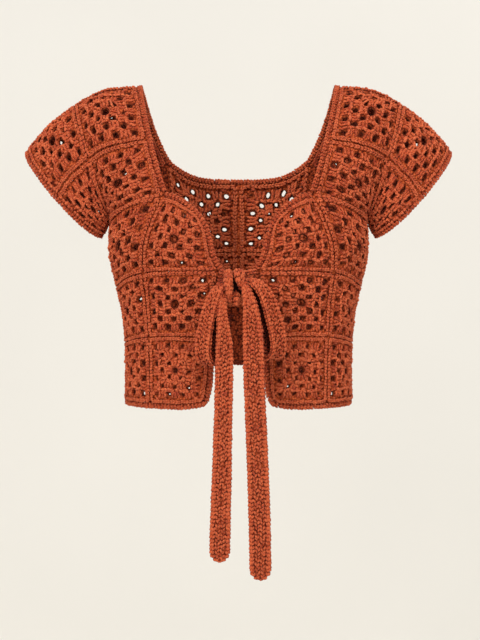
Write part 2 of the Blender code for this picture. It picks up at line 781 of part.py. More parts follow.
def strap_frames(rows, rounded_end):
    """Middle points, half widths and directions along a strap, read from a smooth curve."""
    rows = np.array(rows)
    last = len(rows) - 1
    lengths = np.linalg.norm(np.diff(rows[:, :3], axis=0), axis=1)
    places = []
    for k, length in enumerate(lengths):
        steps = max(1, round(length / STRAP_STEP))
        places += [k + m / steps for m in range(steps)]
    places.append(float(last))
    frames = []
    for place in places:
        x, y, z, width, turn = curve_through(rows, place)
        ahead = curve_through(rows, min(place + 0.05, last))[:3]
        behind = curve_through(rows, max(place - 0.05, 0.0))[:3]
        along = unit(ahead - behind)
        across = np.array((math.cos(math.radians(turn)), -math.sin(math.radians(turn)), 0.0))
        across = unit(across - along * np.dot(across, along))
        frames.append((np.array((x, y, z)), across, unit(np.cross(along, across)), width / 2))
    if rounded_end:
        point, across, out, half = frames[-1]
        along = unit(frames[-1][0] - frames[-2][0])
        start = point - along * half
        frames = [f for f in frames if np.dot(f[0] - start, along) < -LEAST_STEP]
        for k, share in enumerate(END_ROUNDING):
            reach = math.sqrt(1 - share**2)
            frames.append((start + along * half * reach, across, out, half * share))
    return frames


def strap_solid(frames, thickness):
    """A strap with a thicker rope along both of its edges."""
    points = []
    for point, across, out, half in frames:
        middle = half * STRAP_MIDDLE
        thin = thickness / 2 - STRAP_DISH
        edge = thickness / 2 * STRAP_EDGE
        outline = (
            (-half, -edge), (-middle, -thin), (middle, -thin), (half, -edge),
            (half, edge), (middle, thin), (-middle, thin), (-half, edge),
        )
        points += [point + across * a + out * b for a, b in outline]
    width = 8
    faces = []
    for k in range(len(frames) - 1):
        for m in range(width):
            n = (m + 1) % width
            faces.append([k * width + m, k * width + n, (k + 1) * width + n, (k + 1) * width + m])
    faces.append(list(range(width))[::-1])
    faces.append([(len(frames) - 1) * width + m for m in range(width)])
    return points, faces


def lump(centre, radii, rings=8, around=12, waist=0.0, grow=0.0):
    """A rounded lump, drawn in round its middle by a share of its radius."""
    points = [np.array(centre) + (0.0, 0.0, radii[2] + grow)]
    for i in range(1, rings):
        rise = math.pi * i / rings
        for k in range(around):
            turn = 2 * math.pi * k / around
            pinch = 1 - waist * math.cos(turn) ** 2 * math.sin(rise) ** 4
            x = (radii[0] * pinch + grow) * math.sin(rise) * math.cos(turn)
            y = (radii[1] + grow) * math.sin(rise) * math.sin(turn)
            z = (radii[2] + grow) * math.cos(rise)
            points.append(np.array(centre) + (x, y, z))
    points.append(np.array(centre) - (0.0, 0.0, radii[2] + grow))
    faces = []
    for k in range(around):
        n = (k + 1) % around
        faces.append([0, 1 + k, 1 + n])
        bottom = 1 + (rings - 2) * around
        faces.append([len(points) - 1, bottom + n, bottom + k])
        for i in range(rings - 2):
            upper, lower = 1 + i * around, 1 + (i + 1) * around
            faces.append([upper + k, lower + k, lower + n, upper + n])
    return points, faces


def cut_by(thing, cutters):
    """Takes the cutters out of a solid."""
    for cutter in cutters:
        modifier = thing.modifiers.new("nest " + cutter.name, "BOOLEAN")
        modifier.operation = "DIFFERENCE"
        modifier.solver = "EXACT"
        modifier.object = cutter


def hide_helper(thing):
    """Keeps a cutter out of the model."""
    thing.hide_render = True
    thing.display_type = "WIRE"
    return thing


def tie(material):
    """The bow: knot, two loops, two free ends and the short straps that join it to the fronts."""
    knot = add_solid("tie_knot", *lump(KNOT_CENTRE, KNOT_RADII, waist=KNOT_WAIST), material)
    tongue = hide_helper(add_solid("helper_tongue", *lump(KNOT_TONGUE, KNOT_TONGUE_RADII, rings=6, around=8), material))
    union = knot.modifiers.new("tongue", "BOOLEAN")
    union.operation = "UNION"
    union.solver = "EXACT"
    union.object = tongue
    near_knot = hide_helper(
        add_solid("helper_knot_space", *lump(KNOT_CENTRE, KNOT_RADII, waist=KNOT_WAIST, grow=SEAM_GAP), material)
    )
    near_tongue = hide_helper(
        add_solid(
            "helper_tongue_space",
            *lump(KNOT_TONGUE, KNOT_TONGUE_RADII, rings=6, around=8, grow=SEAM_GAP),
            material,
        )
    )
    straps = (
        ("tie_loop_l", LEFT_LOOP, STRAP_THICK, False),
        ("tie_loop_r", RIGHT_LOOP, STRAP_THICK, False),
        ("tie_end_l", LEFT_END, STRAP_THICK, True),
        ("tie_end_r", RIGHT_END, STRAP_THICK, True),
        ("tie_root_l", LEFT_ROOT, ROOT_THICK, False),
        ("tie_root_r", RIGHT_ROOT, ROOT_THICK, False),
    )
    for name, rows, thickness, rounded_end in straps:
        frames = strap_frames(rows, rounded_end)
        strap = add_solid(name, *strap_solid(frames, thickness), material)
        cut_by(strap, [near_knot, near_tongue])


def main():
    for thing in list(bpy.data.objects):
        bpy.data.objects.remove(thing)
    material = yarn_material()
    for name, surface, holes in squares():
        points, faces = square_solid(surface, holes, ROUNDED_EDGES.get(name, ALL_PLAIN))
        add_solid(name % "l", points, faces, material)
        add_solid(name % "r", points, faces, material, mirrored=True)
    for name, frames, both_sides in edgings():
        points, faces = band_solid(frames)
        if both_sides:
            add_solid(name % "l", points, faces, material)
            add_solid(name % "r", points, faces, material, mirrored=True)
        else:
            add_solid(name, points, faces, material)
    tie(material)


main()
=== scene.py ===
"""A cropped crochet top of granny squares in rust cotton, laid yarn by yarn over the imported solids.

Metres, +Z up, and sizes below in millimetres. The wearer faces -Y and +X is the wearer's left.
Squares and edgings are worked out on the same surfaces as their solids: first as strands of yarn
laid flat, then carried onto the surface. Those on the wearer's right are the left ones mirrored,
with their own unevenness. Straps follow their solids' routes, but the free ends start narrower
and further back, by the knot.
"""

import functools
import math

import bpy
import numpy as np
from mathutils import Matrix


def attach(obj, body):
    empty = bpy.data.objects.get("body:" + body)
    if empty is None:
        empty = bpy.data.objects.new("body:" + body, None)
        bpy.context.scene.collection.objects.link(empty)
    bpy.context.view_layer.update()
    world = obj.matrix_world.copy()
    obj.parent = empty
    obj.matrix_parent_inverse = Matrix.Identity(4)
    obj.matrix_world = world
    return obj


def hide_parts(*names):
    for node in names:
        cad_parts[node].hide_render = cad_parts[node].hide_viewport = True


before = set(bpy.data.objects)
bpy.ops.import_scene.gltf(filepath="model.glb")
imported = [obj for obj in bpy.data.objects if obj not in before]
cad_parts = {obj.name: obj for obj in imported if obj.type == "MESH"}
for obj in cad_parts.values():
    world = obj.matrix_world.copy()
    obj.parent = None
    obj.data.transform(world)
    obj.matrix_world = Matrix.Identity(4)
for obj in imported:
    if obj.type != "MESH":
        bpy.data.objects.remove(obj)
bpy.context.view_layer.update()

MM = 0.001
MIRROR = (-1.0, 1.0, 1.0)
SQUARE_SIDE = 88.0
HALF_SQUARE = SQUARE_SIDE / 2
TUBE_SIDES = 4
# Yarn low in the cloth is painted darker, to deepen the shade between stitches: how fast the tone
# grows with height, and the height of the middle tone.
TONE_PER_MM = 1.05
TONE_MIDDLE = 2.6

# ---- The surface of the garment, as the solids have it ----

BODY_COLUMNS = (
    "row", "half_width", "front_depth", "back_depth", "front_z", "side_z", "back_z",
    "front_x", "front_seam_x", "back_seam_x", "back_flatness",
)
BODY = np.array((
    (1.5, 155.0, 84.0, 74.0, -107.0, -128.0, -46.0, 40.0, 62.0, 104.0, 5.0),
    (2.0, 158.0, 91.0, 77.0, -142.0, -168.0, -88.0, 36.0, 87.5, 94.0, 4.2),
    (2.5, 159.0, 95.0, 78.0, -189.0, -209.0, -155.0, 30.0, 107.5, 89.0, 4.6),
    (3.0, 150.5, 93.0, 76.0, -229.0, -252.0, -210.0, 23.0, 113.0, 86.0, 4.2),
    (3.5, 143.0, 87.5, 73.0, -269.0, -287.0, -246.0, 32.0, 110.0, 83.0, 3.7),
    (4.0, 140.0, 84.0, 72.0, -309.0, -322.0, -282.0, 35.0, 107.5, 81.0, 3.2),
    (4.5, 139.5, 83.0, 72.0, -351.0, -358.0, -318.0, 36.0, 106.5, 81.0, 2.8),
    (5.0, 140.5, 83.0, 73.0, -392.0, -394.0, -354.0, 37.0, 106.0, 82.0, 2.5),
))
SECTION_POWER = 0.87
FRONT_FLATNESS = 6
BUST_RISE = 6.0
BUST_ANGLE = 33.0
BUST_ROW = 2.55
BUST_SPREAD_ANGLE = 20.0
BUST_SPREAD_ROW = 0.45
BUST_SIDEWAYS = 0.3

YOKE_COLUMNS = (
    "top_x", "top_z", "foot_x", "foot_z", "front_bulge", "back_bulge", "front_bow", "back_bow", "round",
)
YOKE = (
    (126.5, -3.5, None, None, 0.0, 0.0, 2.2, 4.4, 0.0),
    (168.0, -9.5, None, None, 20.0, 18.0, 0.0, 0.0, 0.5),
    (203.0, -28.0, 162.8, -161.0, 40.0, 38.0, 0.0, 0.0, 1.0),
    (235.0, -52.5, 167.5, -172.0, 42.0, 38.0, 4.0, 4.0, 1.0),
    (260.5, -80.5, 172.5, -184.0, 37.0, 34.0, 8.0, 8.0, 1.0),
)
RIDGE_POWER = 0.62
SEAM_EASE = 9
ARMHOLE_LINE = 2

BUST_TOP = np.array(((87.5, 2.0), (78.0, 2.03), (68.0, 2.085), (57.0, 2.17), (47.5, 2.27)))
BUST_SIDE = np.array(((47.5, 2.27), (40.8, 2.39), (37.0, 2.52), (34.5, 2.68), (30.0, 2.86), (23.0, 3.0)))
BACK_NECK_DIP = 0.245
BACK_NECK_POWER = 3.6
HEM_CORNER = 0.06


def unit(vectors):
    """Each vector at length 1."""
    return vectors / np.linalg.norm(vectors, axis=-1, keepdims=True)


def cubic_between(before, a, b, after, t):
    """Catmull-Rom: the cubic from a to b, its slope at each half the step between its neighbours."""
    return 0.5 * (
        2 * a
        + (b - before) * t
        + (2 * before - 5 * a + 4 * b - after) * t**2
        + (3 * a - before - 3 * b + after) * t**3
    )


def carried_past(rows):
    """The rows with one more at each end, straight on."""
    return np.concatenate([2 * rows[:1] - rows[1:2], rows, 2 * rows[-1:] - rows[-2:-1]])


def curve_through(rows, at):
    """A smooth curve through evenly counted rows, read at these counts."""
    rows = np.asarray(rows, float)
    at = np.asarray(at, float)
    padded = carried_past(rows)
    i = np.clip(np.floor(at).astype(int), 0, len(rows) - 2)
    t = (at - i).reshape(at.shape + (1,) * (rows.ndim - 1))
    return cubic_between(*(padded[i + k] for k in range(4)), t)


def distances(points):
    """How far along a line each of its points lies."""
    steps = np.linalg.norm(np.diff(points, axis=-2), axis=-1)
    return np.concatenate([np.zeros((*steps.shape[:-1], 1)), np.cumsum(steps, axis=-1)], axis=-1)


def body_value(column, row):
    """One column of the body's table, read between its rows."""
    return curve_through(BODY[:, BODY_COLUMNS.index(column)], 2 * (np.asarray(row, float) - BODY[0, 0]))


def angle_at(x, row):
    """The angle from the front centre at which the front half reaches x: asin of its share, undone."""
    share = np.clip(x / body_value("half_width", row), 0.0, 1.0)
    return np.degrees(np.arcsin(share ** (1 / SECTION_POWER)))


def body_point(angle, row):
    """A soft oval in plan: x = half width * sine^p and y = -depth * cosine^p, plus the bust's bump."""
    angle, row = np.broadcast_arrays(np.asarray(angle, float), np.asarray(row, float))
    sine, cosine = np.sin(np.radians(angle)), np.cos(np.radians(angle))
    front = cosine > 0
    depth = np.where(front, body_value("front_depth", row), body_value("back_depth", row))
    centre_z = np.where(front, body_value("front_z", row), body_value("back_z", row))
    side_z = body_value("side_z", row)
    flatness = np.where(front, FRONT_FLATNESS, body_value("back_flatness", row))
    x = body_value("half_width", row) * np.copysign(np.abs(sine) ** SECTION_POWER, sine)
    y = -depth * np.copysign(np.abs(cosine) ** SECTION_POWER, cosine)
    z = side_z + (centre_z - side_z) * (1 - np.abs(sine) ** flatness)
    bust = BUST_RISE * np.exp(
        -(((angle - BUST_ANGLE) / BUST_SPREAD_ANGLE) ** 2) - ((row - BUST_ROW) / BUST_SPREAD_ROW) ** 2
    )
    return np.stack((x + BUST_SIDEWAYS * bust, y - bust, z), axis=-1)


def seam_angle(seam, row):
    """The angle of a column seam at a row."""
    if seam == "side":
        return 90.0 + 0.0 * row
    if seam == "back_centre":
        return 180.0 + 0.0 * row
    if seam == "back_seam":
        return 180.0 - angle_at(body_value("back_seam_x", row), row)
    return angle_at(body_value("front_x" if seam == "front_edge" else "front_seam_x", row), row)


def foot_angle(share, back):
    """The angle at which a yoke line meets row 2, from 0 at the neck to 1 at the side."""
    inner = np.where(back, seam_angle("back_seam", 2.0), seam_angle("front_seam", 2.0))
    return (1 - share) * inner + share * 90.0


def yoke_line(index, down, back):
    """A point of one yoke line: a straight or half oval run from ridge to foot, bulged by a sine."""
    down, back = np.broadcast_arrays(np.asarray(down, float), np.asarray(back, bool))
    outside = (down < 0) | (down > 1)
    back = back ^ outside
    down = np.where(down < 0, -down, np.where(down > 1, 2 - down, down))
    row = dict(zip(YOKE_COLUMNS, YOKE[index]))
    facing = np.where(back, 1.0, -1.0)
    top = np.array((row["top_x"], 0.0, row["top_z"]))
    if row["foot_x"] is None:
        foot = body_point(foot_angle(index / ARMHOLE_LINE, back), 2.0)
    else:
        foot = np.broadcast_to(np.array((row["foot_x"], 0.0, row["foot_z"])), down.shape + (3,))
    along = row["round"] * (1 - np.cos(np.pi * down)) / 2 + (1 - row["round"]) * down
    point = top + (foot - top) * along[..., None]
    quarter = np.sin(np.pi * down / 2) ** RIDGE_POWER
    half = np.sin(np.pi * down)
    bulge = np.where(back, row["back_bulge"], row["front_bulge"])
    bow = np.where(back, row["back_bow"], row["front_bow"])
    span = unit(foot - top)
    outwards = unit(np.stack((-span[..., 2], 0.0 * down, span[..., 0]), axis=-1))
    point[..., 1] = foot[..., 1] * quarter + facing * bulge * half
    return point + outwards * (bow * half)[..., None]


def yoke_point(across, down, back):
    """The yoke and sleeve between its five lines, from 0 at the neck to 4 at the sleeve's end."""
    across, down, back = np.broadcast_arrays(across, down, back)
    lines = np.stack([yoke_line(index, down, back) for index in range(len(YOKE))])
    own = np.where(across > ARMHOLE_LINE, down**2, 0.0)[..., None]
    straight_on = 2 * lines[ARMHOLE_LINE] - lines[ARMHOLE_LINE + 1]
    lines[ARMHOLE_LINE - 1] = (1 - own) * lines[ARMHOLE_LINE - 1] + own * straight_on
    padded = carried_past(lines)
    i = np.clip(np.floor(across).astype(int), 0, len(YOKE) - 2)
    nearby = (np.take_along_axis(padded, (i + k)[None, ..., None], axis=0)[0] for k in range(4))
    return cubic_between(*nearby, (across - i)[..., None])


def shoulder_point(across, down, back):
    """The yoke within the shoulder squares, eased onto the body's row 2 and carried on below it."""
    across, down, back = np.broadcast_arrays(across, down, back)
    angle = foot_angle(across / ARMHOLE_LINE, back)
    point = yoke_point(across, np.minimum(down, 1.0), back)
    miss = body_point(angle, 2.0) - yoke_point(across, 1.0, back)
    eased = point + miss * (np.clip(2 * down - 1, 0.0, 1.0) ** SEAM_EASE)[..., None]
    return np.where((down > 1)[..., None], body_point(angle, 2 * np.maximum(down, 1.0)), eased)


def torso_point(angle, row):
    """The body, carried on above row 2 by the shoulder squares."""
    back = angle > 90
    inner, side = foot_angle(0.0, back), foot_angle(1.0, back)
    above = shoulder_point(ARMHOLE_LINE * (angle - inner) / (side - inner), np.minimum(row, 2.0) / 2, back)
    return np.where((row >= 2)[..., None], body_point(angle, row), above)


def body_panel(first_seam, second_seam, row):
    """A square between two column seams, hanging from one seam row to the next."""

    def point(u, v):
        at = row + v
        first, second = seam_angle(first_seam, at), seam_angle(second_seam, at)
        angle = first + (second - first) * u
        return torso_point(angle, at) if "side" in (first_seam, second_seam) else body_point(angle, at)

    return point


def bust_panel(u, v):
    """A Coons patch between the rounded top, the rounded front edge, the seam and the foot."""
    top = curve_through(BUST_TOP, (len(BUST_TOP) - 1) * (1 - u))
    side = curve_through(BUST_SIDE, (len(BUST_SIDE) - 1) * v)
    seam_row = 2 + v + (BUST_TOP[0][1] - 2) * (1 - v)
    seam = np.stack((body_value("front_seam_x", seam_row), seam_row), axis=-1)
    turn = (1 - u) * seam_angle("front_edge", 3.0) + u * seam_angle("front_seam", 3.0)
    foot_x = body_value("half_width", 3.0) * np.sin(np.radians(turn)) ** SECTION_POWER
    foot = np.stack((foot_x, 3.0 + 0.0 * foot_x), axis=-1)
    corner, seam_top, foot_front = BUST_TOP[-1], BUST_TOP[0], BUST_SIDE[-1]
    foot_seam = np.array((body_value("front_seam_x", 3.0), 3.0))
    u, v = u[..., None], v[..., None]
    blend = (
        (1 - u) * side + u * seam + (1 - v) * top + v * foot
        - (1 - u) * (1 - v) * corner - u * (1 - v) * seam_top
        - (1 - u) * v * foot_front - u * v * foot_seam
    )
    return body_point(angle_at(blend[..., 0], blend[..., 1]), blend[..., 1])


def back_neck_panel(u, v):
    """The top centre square of the back, whose free edge dips towards the centre."""
    dip = BACK_NECK_DIP * (1 - np.clip(1 - u, 0.0, None) ** BACK_NECK_POWER)
    at = 2 + dip * (1 - v) + v
    first = seam_angle("back_seam", at)
    return body_point(first + (180.0 - first) * u, at)


def front_hem_panel(u, v):
    """The lowest centre square of the front, with its free corner drawn in."""
    draw = HEM_CORNER * np.clip(1 - u / 0.5, 0.0, None) ** 2 * np.clip(2 * v - 1, 0.0, None) ** 2
    at = 4 + v - draw
    first, second = seam_angle("front_edge", at), seam_angle("front_seam", at)
    return body_point(first + (second - first) * (u + draw * (1 - u)), at)


def yoke_panel(first_line, row, back):
    """A shoulder or sleeve square. On the back it runs the other way, so that it faces out."""

    def point(u, v):
        across = first_line + 2 * (1 - u if back else u)
        down = (row - 1 + v) / 2
        return (shoulder_point if first_line == 0 else yoke_point)(across, down, back)

    return point


def square_surfaces():
    """Each square's surface by name, for the wearer's left. u runs round to the back, v down."""
    found = {}
    for face, back in (("front", False), ("back", True)):
        for row in (1, 2):
            found[f"{face}_%s_shoulder_{row}"] = yoke_panel(0, row, back)
            found[f"{face}_%s_sleeve_{row}"] = yoke_panel(ARMHOLE_LINE, row, back)
    for row in (3, 4, 5):
        found[f"front_%s_centre_{row}"] = body_panel("front_edge", "front_seam", row - 1)
        found[f"front_%s_side_{row}"] = body_panel("front_seam", "side", row - 1)
        found[f"back_%s_side_{row}"] = body_panel("side", "back_seam", row - 1)
        found[f"back_%s_centre_{row}"] = body_panel("back_seam", "back_centre", row - 1)
    found["front_%s_centre_3"] = bust_panel
    found["front_%s_centre_5"] = front_hem_panel
    found["back_%s_centre_3"] = back_neck_panel
    return found


def frame_at(surface, u, v):
    """Point, the two directions along the surface, and the way out of it, by central differences."""
    u, v = np.broadcast_arrays(np.asarray(u, float), np.asarray(v, float))
    step = 0.02
    along_u = unit(surface(u + step, v) - surface(u - step, v))
    along_v = unit(surface(u, v + step) - surface(u, v - step))
    return surface(u, v), along_u, along_v, unit(np.cross(along_v, along_u))


# ---- Yarn ----


def tube_faces(rings, sides):
    """A closed tube's faces: tris that fan in to its last two points, and quads ring to ring."""
    k = np.arange(sides)
    n = (k + 1) % sides
    j = sides * np.arange(rings - 1)[:, None]
    quads = np.stack([j + k, j + n, j + sides + n, j + sides + k], axis=-1).reshape(-1, 4)
    last = sides * (rings - 1)
    start_point = sides * rings
    start = np.stack([0 * k + start_point, n, k], axis=-1)
    end = np.stack([0 * k + start_point + 1, last + k, last + n], axis=-1)
    return np.concatenate([start, end]), quads


def corner_uvs(*corners):
    """The UVs of faces, from each corner's distance along a strand and share of the way round it."""
    return np.stack([np.stack(np.broadcast_arrays(*corner), axis=-1) for corner in corners], axis=-2)


def on_side(points, groups, mirrored):
    """Points in metres, and faces that point out: mirrored in X, or else with their corners turned."""
    if mirrored:
        return points * MM * MIRROR, groups
    return points * MM, [group[:, ::-1] for group in groups]


class Yarn:
    """Strands for one piece. Each is a tube that tapers to a closed point at both of its ends."""

    def __init__(self, name):
        self.name = name
        self.points = []
        self.tris = []
        self.quads = []
        self.tri_uvs = []
        self.quad_uvs = []
        self.tones = []
        self.count = 0

    def lay(self, line, out, radius, rng, height):
        """Adds strands: line and out are (strands, points, 3), radius and height (strands, points).

        A ring is the point + r * (cos t * side + sin t * out), where side is along x out. A point's tone
        is its strand's own, plus a share of how far out of the cloth it lies: painted shade, darker on
        the low side of each strand and on yarn low in the cloth.
        """
        strands, steps = line.shape[:2]
        along = unit(np.gradient(line, axis=1))
        side = unit(np.cross(along, out))
        up = np.cross(side, along)
        turn = 2 * np.pi * np.arange(TUBE_SIDES) / TUBE_SIDES
        radius = np.broadcast_to(radius, (strands, steps))[:, 1:-1, None]
        round_it = np.cos(turn)[:, None] * side[:, 1:-1, None] + np.sin(turn)[:, None] * up[:, 1:-1, None]
        ring = line[:, 1:-1, None] + radius[..., None] * round_it
        points = np.concatenate([ring.reshape(strands, -1, 3), line[:, :1], line[:, -1:]], axis=1)
        length = distances(line) + rng.uniform(0, 50, (strands, 1))
        each = points.shape[1]
        first = self.count + each * np.arange(strands)[:, None, None]
        tris, quads = tube_faces(steps - 2, TUBE_SIDES)
        share = np.arange(TUBE_SIDES) / TUBE_SIDES
        after = share + 1 / TUBE_SIDES
        inner = length[:, 1:-1]
        here, there = inner[:, :-1, None], inner[:, 1:, None]
        quad_uvs = corner_uvs((here, share), (here, after), (there, after), (there, share))
        start_uvs = corner_uvs((length[:, :1], share), (inner[:, :1], after), (inner[:, :1], share))
        end_uvs = corner_uvs((length[:, -1:], share), (inner[:, -1:], share), (inner[:, -1:], after))
        rise = (height[:, 1:-1, None] + radius * np.sin(turn)).reshape(strands, -1)
        rise = np.concatenate([rise, height[:, :1], height[:, -1:]], axis=1)
        own_tone = rng.uniform(-1, 1, (strands, 1))
        self.points.append(points.reshape(-1, 3))
        self.tris.append((first + tris).reshape(-1, 3))
        self.quads.append((first + quads).reshape(-1, 4))
        self.tri_uvs.append(np.concatenate([start_uvs, end_uvs], axis=1).reshape(-1, 3, 2))
        self.quad_uvs.append(quad_uvs.reshape(-1, 4, 2))
        self.tones.append((own_tone + TONE_PER_MM * (rise - TONE_MIDDLE)).reshape(-1))
        self.count += strands * each

    def piece(self, material, mirrored=False):
        """The strands as one mesh object, mirrored in X where asked."""
        groups = [np.concatenate(found) for found in (self.tris, self.quads, self.tri_uvs, self.quad_uvs)]
        points, groups = on_side(np.concatenate(self.points), groups, mirrored)
        tris, quads, tri_uvs, quad_uvs = groups
        thing = mesh_piece(self.name, points, [tris, quads], material)
        layer = thing.data.uv_layers.new(name="strand")
        layer.data.foreach_set("uv", np.concatenate([tri_uvs.reshape(-1), quad_uvs.reshape(-1)]))
        point_values(thing, "tone", np.concatenate(self.tones))
        return thing


def mesh_piece(name, points, groups, material):
    """A smooth mesh object from points in metres and groups of faces with equal corners."""
    mesh = bpy.data.meshes.new(name)
    mesh.vertices.add(len(points))
    mesh.vertices.foreach_set("co", points.reshape(-1))
    corners = np.concatenate([g.reshape(-1) for g in groups])
    sizes = np.concatenate([np.full(len(g), g.shape[1]) for g in groups])
    mesh.loops.add(len(corners))
    mesh.loops.foreach_set("vertex_index", corners.astype(np.int32))
    mesh.polygons.add(len(sizes))
    mesh.polygons.foreach_set("loop_start", (np.cumsum(sizes) - sizes).astype(np.int32))
    mesh.update(calc_edges=True)
    mesh.shade_smooth()
    mesh.materials.append(material)
    thing = bpy.data.objects.new(name, mesh)
    bpy.context.scene.collection.objects.link(thing)
    return thing


def point_values(thing, name, values):
    """Gives a mesh a number at each point. Its shade runs from 0, in the open, to 1, deep in the yarn."""
    attribute = thing.data.attributes.new(name, "FLOAT", "POINT")
    attribute.data.foreach_set("value", np.asarray(values, float).reshape(-1))


# ---- Stitches, flat: x and y in the cloth and h out of it ----


# A bar over a tall stitch: how far up the stitch it may lie, half its reach across and along the
# stitch, how far out its middle lies, and how far its ends droop.
BAR_PLACE = (0.28, 0.5)
BAR_ACROSS = 2.1
BAR_ALONG = 0.9
BAR_RISE = 1.3
BAR_DROOP = 1.6
# The unevenness of tall stitches: where they stand, and how far out they lie.
POST_JITTER = 0.35
RISE_JITTER = 0.4
# How much deeper than wide the two strands wind, and how far both ends of a tall stitch dip.
POST_DEPTH = 1.2
POST_DIP = 1.1


def bars(base, top, height, rng, radius=1.15):
    """The yarn laid over each tall stitch: a short slanting strand below the middle of it."""
    count = len(base)
    way = unit(top - base)
    across = np.stack((-way[:, 1], way[:, 0]), axis=-1)
    middle = base + (top - base) * rng.uniform(*BAR_PLACE, (count, 1))
    t = np.linspace(-1.0, 1.0, 4)[None, :, None]
    line = middle[:, None] + (BAR_ACROSS * across + BAR_ALONG * way)[:, None] * t
    rise = height + BAR_RISE - BAR_DROOP * t[..., 0] ** 2 + rng.normal(0, 0.3, (count, 1))
    return np.concatenate([line, rise[..., None]], axis=-1), radius


def twisted_posts(base, top, height, rng, radius=1.6, spread=1.0, turns=1.3, steps=6):
    """The tall part of stitches: two strands wound round each other from base to top.

    A strand's centre lies at spread from the post's line, at angle start + 2 pi * turns * t, with t
    from 0 at the base to 1 at the top, and the two strands half a turn apart. Both ends dip.
    """
    t = np.linspace(0.0, 1.0, steps)
    count = len(base)
    base = base + rng.normal(0, POST_JITTER, base.shape)
    top = top + rng.normal(0, POST_JITTER, top.shape)
    line = base[:, None] + (top - base)[:, None] * t[None, :, None]
    way = unit(top - base)
    across = np.stack((-way[:, 1], way[:, 0]), axis=-1)
    start = rng.uniform(0, 0.6, (count, 1)) * np.pi
    dip = POST_DIP * (2 * t - 1) ** 4
    strands = []
    for half_turn in (0.0, np.pi):
        angle = start + half_turn + 2 * np.pi * turns * t[None]
        flat = line + across[:, None] * (spread * np.cos(angle))[..., None]
        rise = height + POST_DEPTH * spread * np.sin(angle) - dip + rng.normal(0, RISE_JITTER, (count, 1))
        strands.append(np.concatenate([flat, rise[..., None]], axis=-1))
    return np.concatenate(strands), radius


# A leg of a V-shaped head, as shares of the pitch, of the half width and of the yarn's radius.
CHAIN_ALONG = np.array((-0.64, -0.34, 0.0, 0.32, 0.58))
CHAIN_ASIDE = np.array((0.05, 0.4, 0.85, 1.25, 1.35))
CHAIN_RISE = np.array((-1.3, 0.1, 0.65, 0.25, -1.3))


def chain_stitches(places, ways, pitch, height, rng, radius=1.2, aside=1.15, unevenness=0.2):
    """The V-shaped heads of stitches in a row: each is two legs that part from a closed foot.

    Along the row a leg runs from -0.64 to 0.58 of the pitch, so each V starts inside the last.
    """
    count = len(places)
    ways = unit(ways)
    across = np.stack((-ways[:, 1], ways[:, 0]), axis=-1)
    pitch = np.broadcast_to(pitch, (count,))[:, None]
    places = places + rng.normal(0, unevenness, places.shape)
    strands = []
    for sign in (-1.0, 1.0):
        flat = (
            places[:, None]
            + ways[:, None] * (CHAIN_ALONG * pitch)[..., None]
            + across[:, None] * (sign * aside * CHAIN_ASIDE)[None, :, None]
        )
        rise = height + CHAIN_RISE[None] * radius + rng.normal(0, unevenness, (count, 1))
        strands.append(np.concatenate([flat, rise[..., None]], axis=-1))
    return np.concatenate(strands), radius


def four_sides(side_points):
    """Points of the side that lies towards +y, and the same on the other three sides."""
    turned = [np.asarray(side_points, float)]
    for _ in range(3):
        last = turned[-1]
        turned.append(np.stack((last[..., 1], -last[..., 0]), axis=-1))
    return np.concatenate(turned)


# One side of each round of the square, in mm from its centre: (base x, base y, top x, top y).
ROUND_1 = ((-2.9, 4.6, -6.4, 12.4), (0.0, 5.4, 0.0, 13.8), (2.9, 4.6, 6.4, 12.4))
ROUND_2 = (
    (-12.6, 13.6, -17.0, 23.0), (-10.0, 14.6, -11.2, 24.2), (-7.2, 14.6, -5.2, 23.6),
    (7.2, 14.6, 5.2, 23.6), (10.0, 14.6, 11.2, 24.2), (12.6, 13.6, 17.0, 23.0), (0.0, 13.8, 0.0, 17.6),
)
ROUND_3 = (
    (-23.6, 24.2, -27.4, 36.8), (-20.6, 25.2, -21.6, 37.6), (-17.4, 25.2, -15.6, 37.2),
    (-3.2, 25.0, -6.0, 37.2), (0.0, 24.6, 0.0, 37.6), (3.2, 25.0, 6.0, 37.2),
    (17.4, 25.2, 15.6, 37.2), (20.6, 25.2, 21.6, 37.6), (23.6, 24.2, 27.4, 36.8),
    (32.6, 36.6, 27.0, 37.6), (-27.0, 37.6, -32.6, 36.6),
)
# Heads of the stitches along one side of the first two rounds, ending with the corner: (x, y).
HEADS_1 = ((-5.8, 13.9), (-2.0, 14.9), (2.0, 14.9), (5.8, 13.9), (9.9, 13.6), (13.6, 9.9))
HEADS_2 = (
    (-18.6, 25.0), (-14.4, 25.4), (-10.2, 25.6), (-6.0, 25.4), (-2.0, 25.2), (2.0, 25.2),
    (6.0, 25.4), (10.2, 25.6), (14.4, 25.4), (18.6, 25.0), (23.8, 23.8),
)
EDGE_STITCHES = 20
EDGE_LINE = 40.9
CENTRE_RING = 5.6

# The openings between the stitches of one side: (x, y, radius). The cloth's grid is laid to them.
OPENING_STEP = 10.4
OPENINGS = (
    (OPENING_STEP, OPENING_STEP, 2.6),
    (2 * OPENING_STEP, 2 * OPENING_STEP, 2.8), (0.0, 2 * OPENING_STEP, 2.4),
    (-OPENING_STEP, 3 * OPENING_STEP, 2.7), (OPENING_STEP, 3 * OPENING_STEP, 2.7),
    (3 * OPENING_STEP, 3 * OPENING_STEP, 2.4),
)
CENTRE_OPENING = 4.2
OPENING_JITTER = 0.55
OPENING_SIZES = (0.75, 1.15)
# Openings all but closed have this share of their size. Yarn is pushed off an opening up to this far.
CLOSED_SIZE = 0.4
PUSHED_WITHIN = 2.6
# How wide the openings are, as a share of the above: narrower on the back and in the lowest centre
# squares of the front. A square has its face's value where it has none of its own.
SLACK = {
    "front": 1.0, "back": 0.55, "front_%s_centre_5": 0.36,
    "back_%s_shoulder_2": 0.9, "back_%s_centre_3": 0.95, "back_%s_shoulder_1": 0.7,
}
